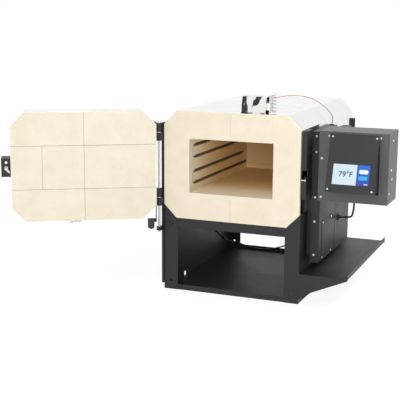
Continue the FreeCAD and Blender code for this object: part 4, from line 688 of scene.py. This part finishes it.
class OVEN_OT_stage(bpy.types.Operator):
    """Set the floor, the lamps, the world and the camera"""

    bl_idname = "oven.stage"
    bl_label = "Stage"

    def execute(self, context):
        scene = context.scene
        scene.view_settings.view_transform = "Standard"
        shape = bmesh.new()
        bmesh.ops.create_grid(shape, x_segments=1, y_segments=1, size=14.0)
        mesh = bpy.data.meshes.new("studio_floor")
        shape.to_mesh(mesh)
        shape.free()
        floor = bpy.data.objects.new("studio_floor", mesh)
        scene.collection.objects.link(floor)
        mesh.materials.append(self.floor_finish())
        self.light_world(scene)
        self.lamp("key", (0.25, -1.9, 2.35), (0.0, -0.1, 0.3), 1.1, sizes().key_power)
        self.lamp("fill", (0.75, -2.4, 0.8), (0.0, 0.0, 0.3), 0.7, sizes().key_power * 0.82)
        self.lamp("rim", (1.6, 0.7, 2.6), (0.2, 0.0, 0.3), 1.2, sizes().key_power * 4.0)
        self.aim_camera(scene)
        return {"FINISHED"}

    def floor_finish(self):
        surface = Surface("studio_floor", (0.86, 0.86, 0.86), 0.6)
        rays = surface.node("ShaderNodeLightPath").socket.node
        seen = Wire(surface, rays.outputs["Is Camera Ray"])
        mirrored = Wire(surface, rays.outputs["Is Glossy Ray"])
        through = Wire(surface, rays.outputs["Is Transmission Ray"])
        white = surface.node("ShaderNodeEmission", None, {"Color": (1, 1, 1, 1), "Strength": 1.1})
        share = (seen + mirrored + through).clamped() * 0.82
        blend = surface.node("ShaderNodeMixShader", None, {
            0: share, 1: Wire(surface, surface.shader.outputs[0]), 2: white})
        surface.tree.links.new(blend.socket, surface.tree.nodes["Material Output"].inputs["Surface"])
        return surface.material

    def light_world(self, scene):
        world = scene.world or bpy.data.worlds.new("studio_world")
        scene.world = world
        world.use_nodes = True
        tree = world.node_tree
        tree.nodes.clear()
        rays = tree.nodes.new("ShaderNodeLightPath")
        seen = tree.nodes.new("ShaderNodeMath")
        seen.operation = "MAXIMUM"
        tree.links.new(rays.outputs["Is Camera Ray"], seen.inputs[0])
        tree.links.new(rays.outputs["Is Transmission Ray"], seen.inputs[1])
        mirrored = tree.nodes.new("ShaderNodeMath")
        mirrored.operation = "MAXIMUM"
        tree.links.new(seen.outputs[0], mirrored.inputs[0])
        tree.links.new(rays.outputs["Is Glossy Ray"], mirrored.inputs[1])
        around = tree.nodes.new("ShaderNodeBackground")
        around.inputs["Color"].default_value = (1, 1, 1, 1)
        around.inputs["Strength"].default_value = 0.5
        behind = tree.nodes.new("ShaderNodeBackground")
        behind.inputs["Color"].default_value = (1, 1, 1, 1)
        behind.inputs["Strength"].default_value = 1.0
        blend = tree.nodes.new("ShaderNodeMixShader")
        tree.links.new(mirrored.outputs[0], blend.inputs[0])
        tree.links.new(around.outputs[0], blend.inputs[1])
        tree.links.new(behind.outputs[0], blend.inputs[2])
        output = tree.nodes.new("ShaderNodeOutputWorld")
        tree.links.new(blend.outputs[0], output.inputs["Surface"])

    def lamp(self, name, place, target, size, power):
        data = bpy.data.lights.new(name, "AREA")
        data.size = size
        data.energy = power
        lamp = bpy.data.objects.new(name, data)
        bpy.context.scene.collection.objects.link(lamp)
        lamp.location = place
        lamp.rotation_euler = (Vector(target) - Vector(place)).to_track_quat("-Z", "Y").to_euler()

    def aim_camera(self, scene):
        yaw, pitch, roll = 0.3904, 0.1981, 0.0047
        ahead = Vector((-math.sin(yaw) * math.cos(pitch), math.cos(yaw) * math.cos(pitch), -math.sin(pitch)))
        right = Vector((math.cos(yaw), math.sin(yaw), 0.0))
        above = right.cross(ahead)
        across = right * math.cos(roll) + above * math.sin(roll)
        above = above * math.cos(roll) - right * math.sin(roll)
        data = bpy.data.cameras.new("photo_camera")
        data.lens = 87.41
        data.sensor_width = 36.0
        data.clip_end = 100.0
        camera = bpy.data.objects.new("photo_camera", data)
        scene.collection.objects.link(camera)
        camera.matrix_world = Matrix.Translation((0.88428, -2.6113, 0.769)) @ Matrix(
            (across, above, -ahead)).transposed().to_4x4()
        scene.camera = camera


class OVEN_PT_panel(bpy.types.Panel):
    """The oven's sizes and the steps that make it"""

    bl_idname = "OVEN_PT_panel"
    bl_label = "Heat treating oven"
    bl_space_type = "VIEW_3D"
    bl_region_type = "UI"
    bl_category = "Oven"

    def draw(self, context):
        for name in OvenSizes.__annotations__:
            self.layout.prop(context.scene.oven_sizes, name)
        for step in STEPS:
            self.layout.operator(step.bl_idname)


STEPS = (OVEN_OT_cords, OVEN_OT_elements, OVEN_OT_rivet, OVEN_OT_screen, OVEN_OT_finishes, OVEN_OT_stage)
CLASSES = (OvenSizes, *STEPS, OVEN_PT_panel)


def register():
    for each in CLASSES:
        bpy.utils.register_class(each)
    bpy.types.Scene.oven_sizes = bpy.props.PointerProperty(type=OvenSizes)


def unregister():
    del bpy.types.Scene.oven_sizes
    for each in reversed(CLASSES):
        bpy.utils.unregister_class(each)


def main():
    register()
    bpy.ops.oven.cords()
    bpy.ops.oven.elements()
    bpy.ops.oven.rivet()
    bpy.ops.oven.screen()
    bpy.ops.oven.finishes()
    bpy.ops.oven.stage()


if __name__ == "__main__":
    main()
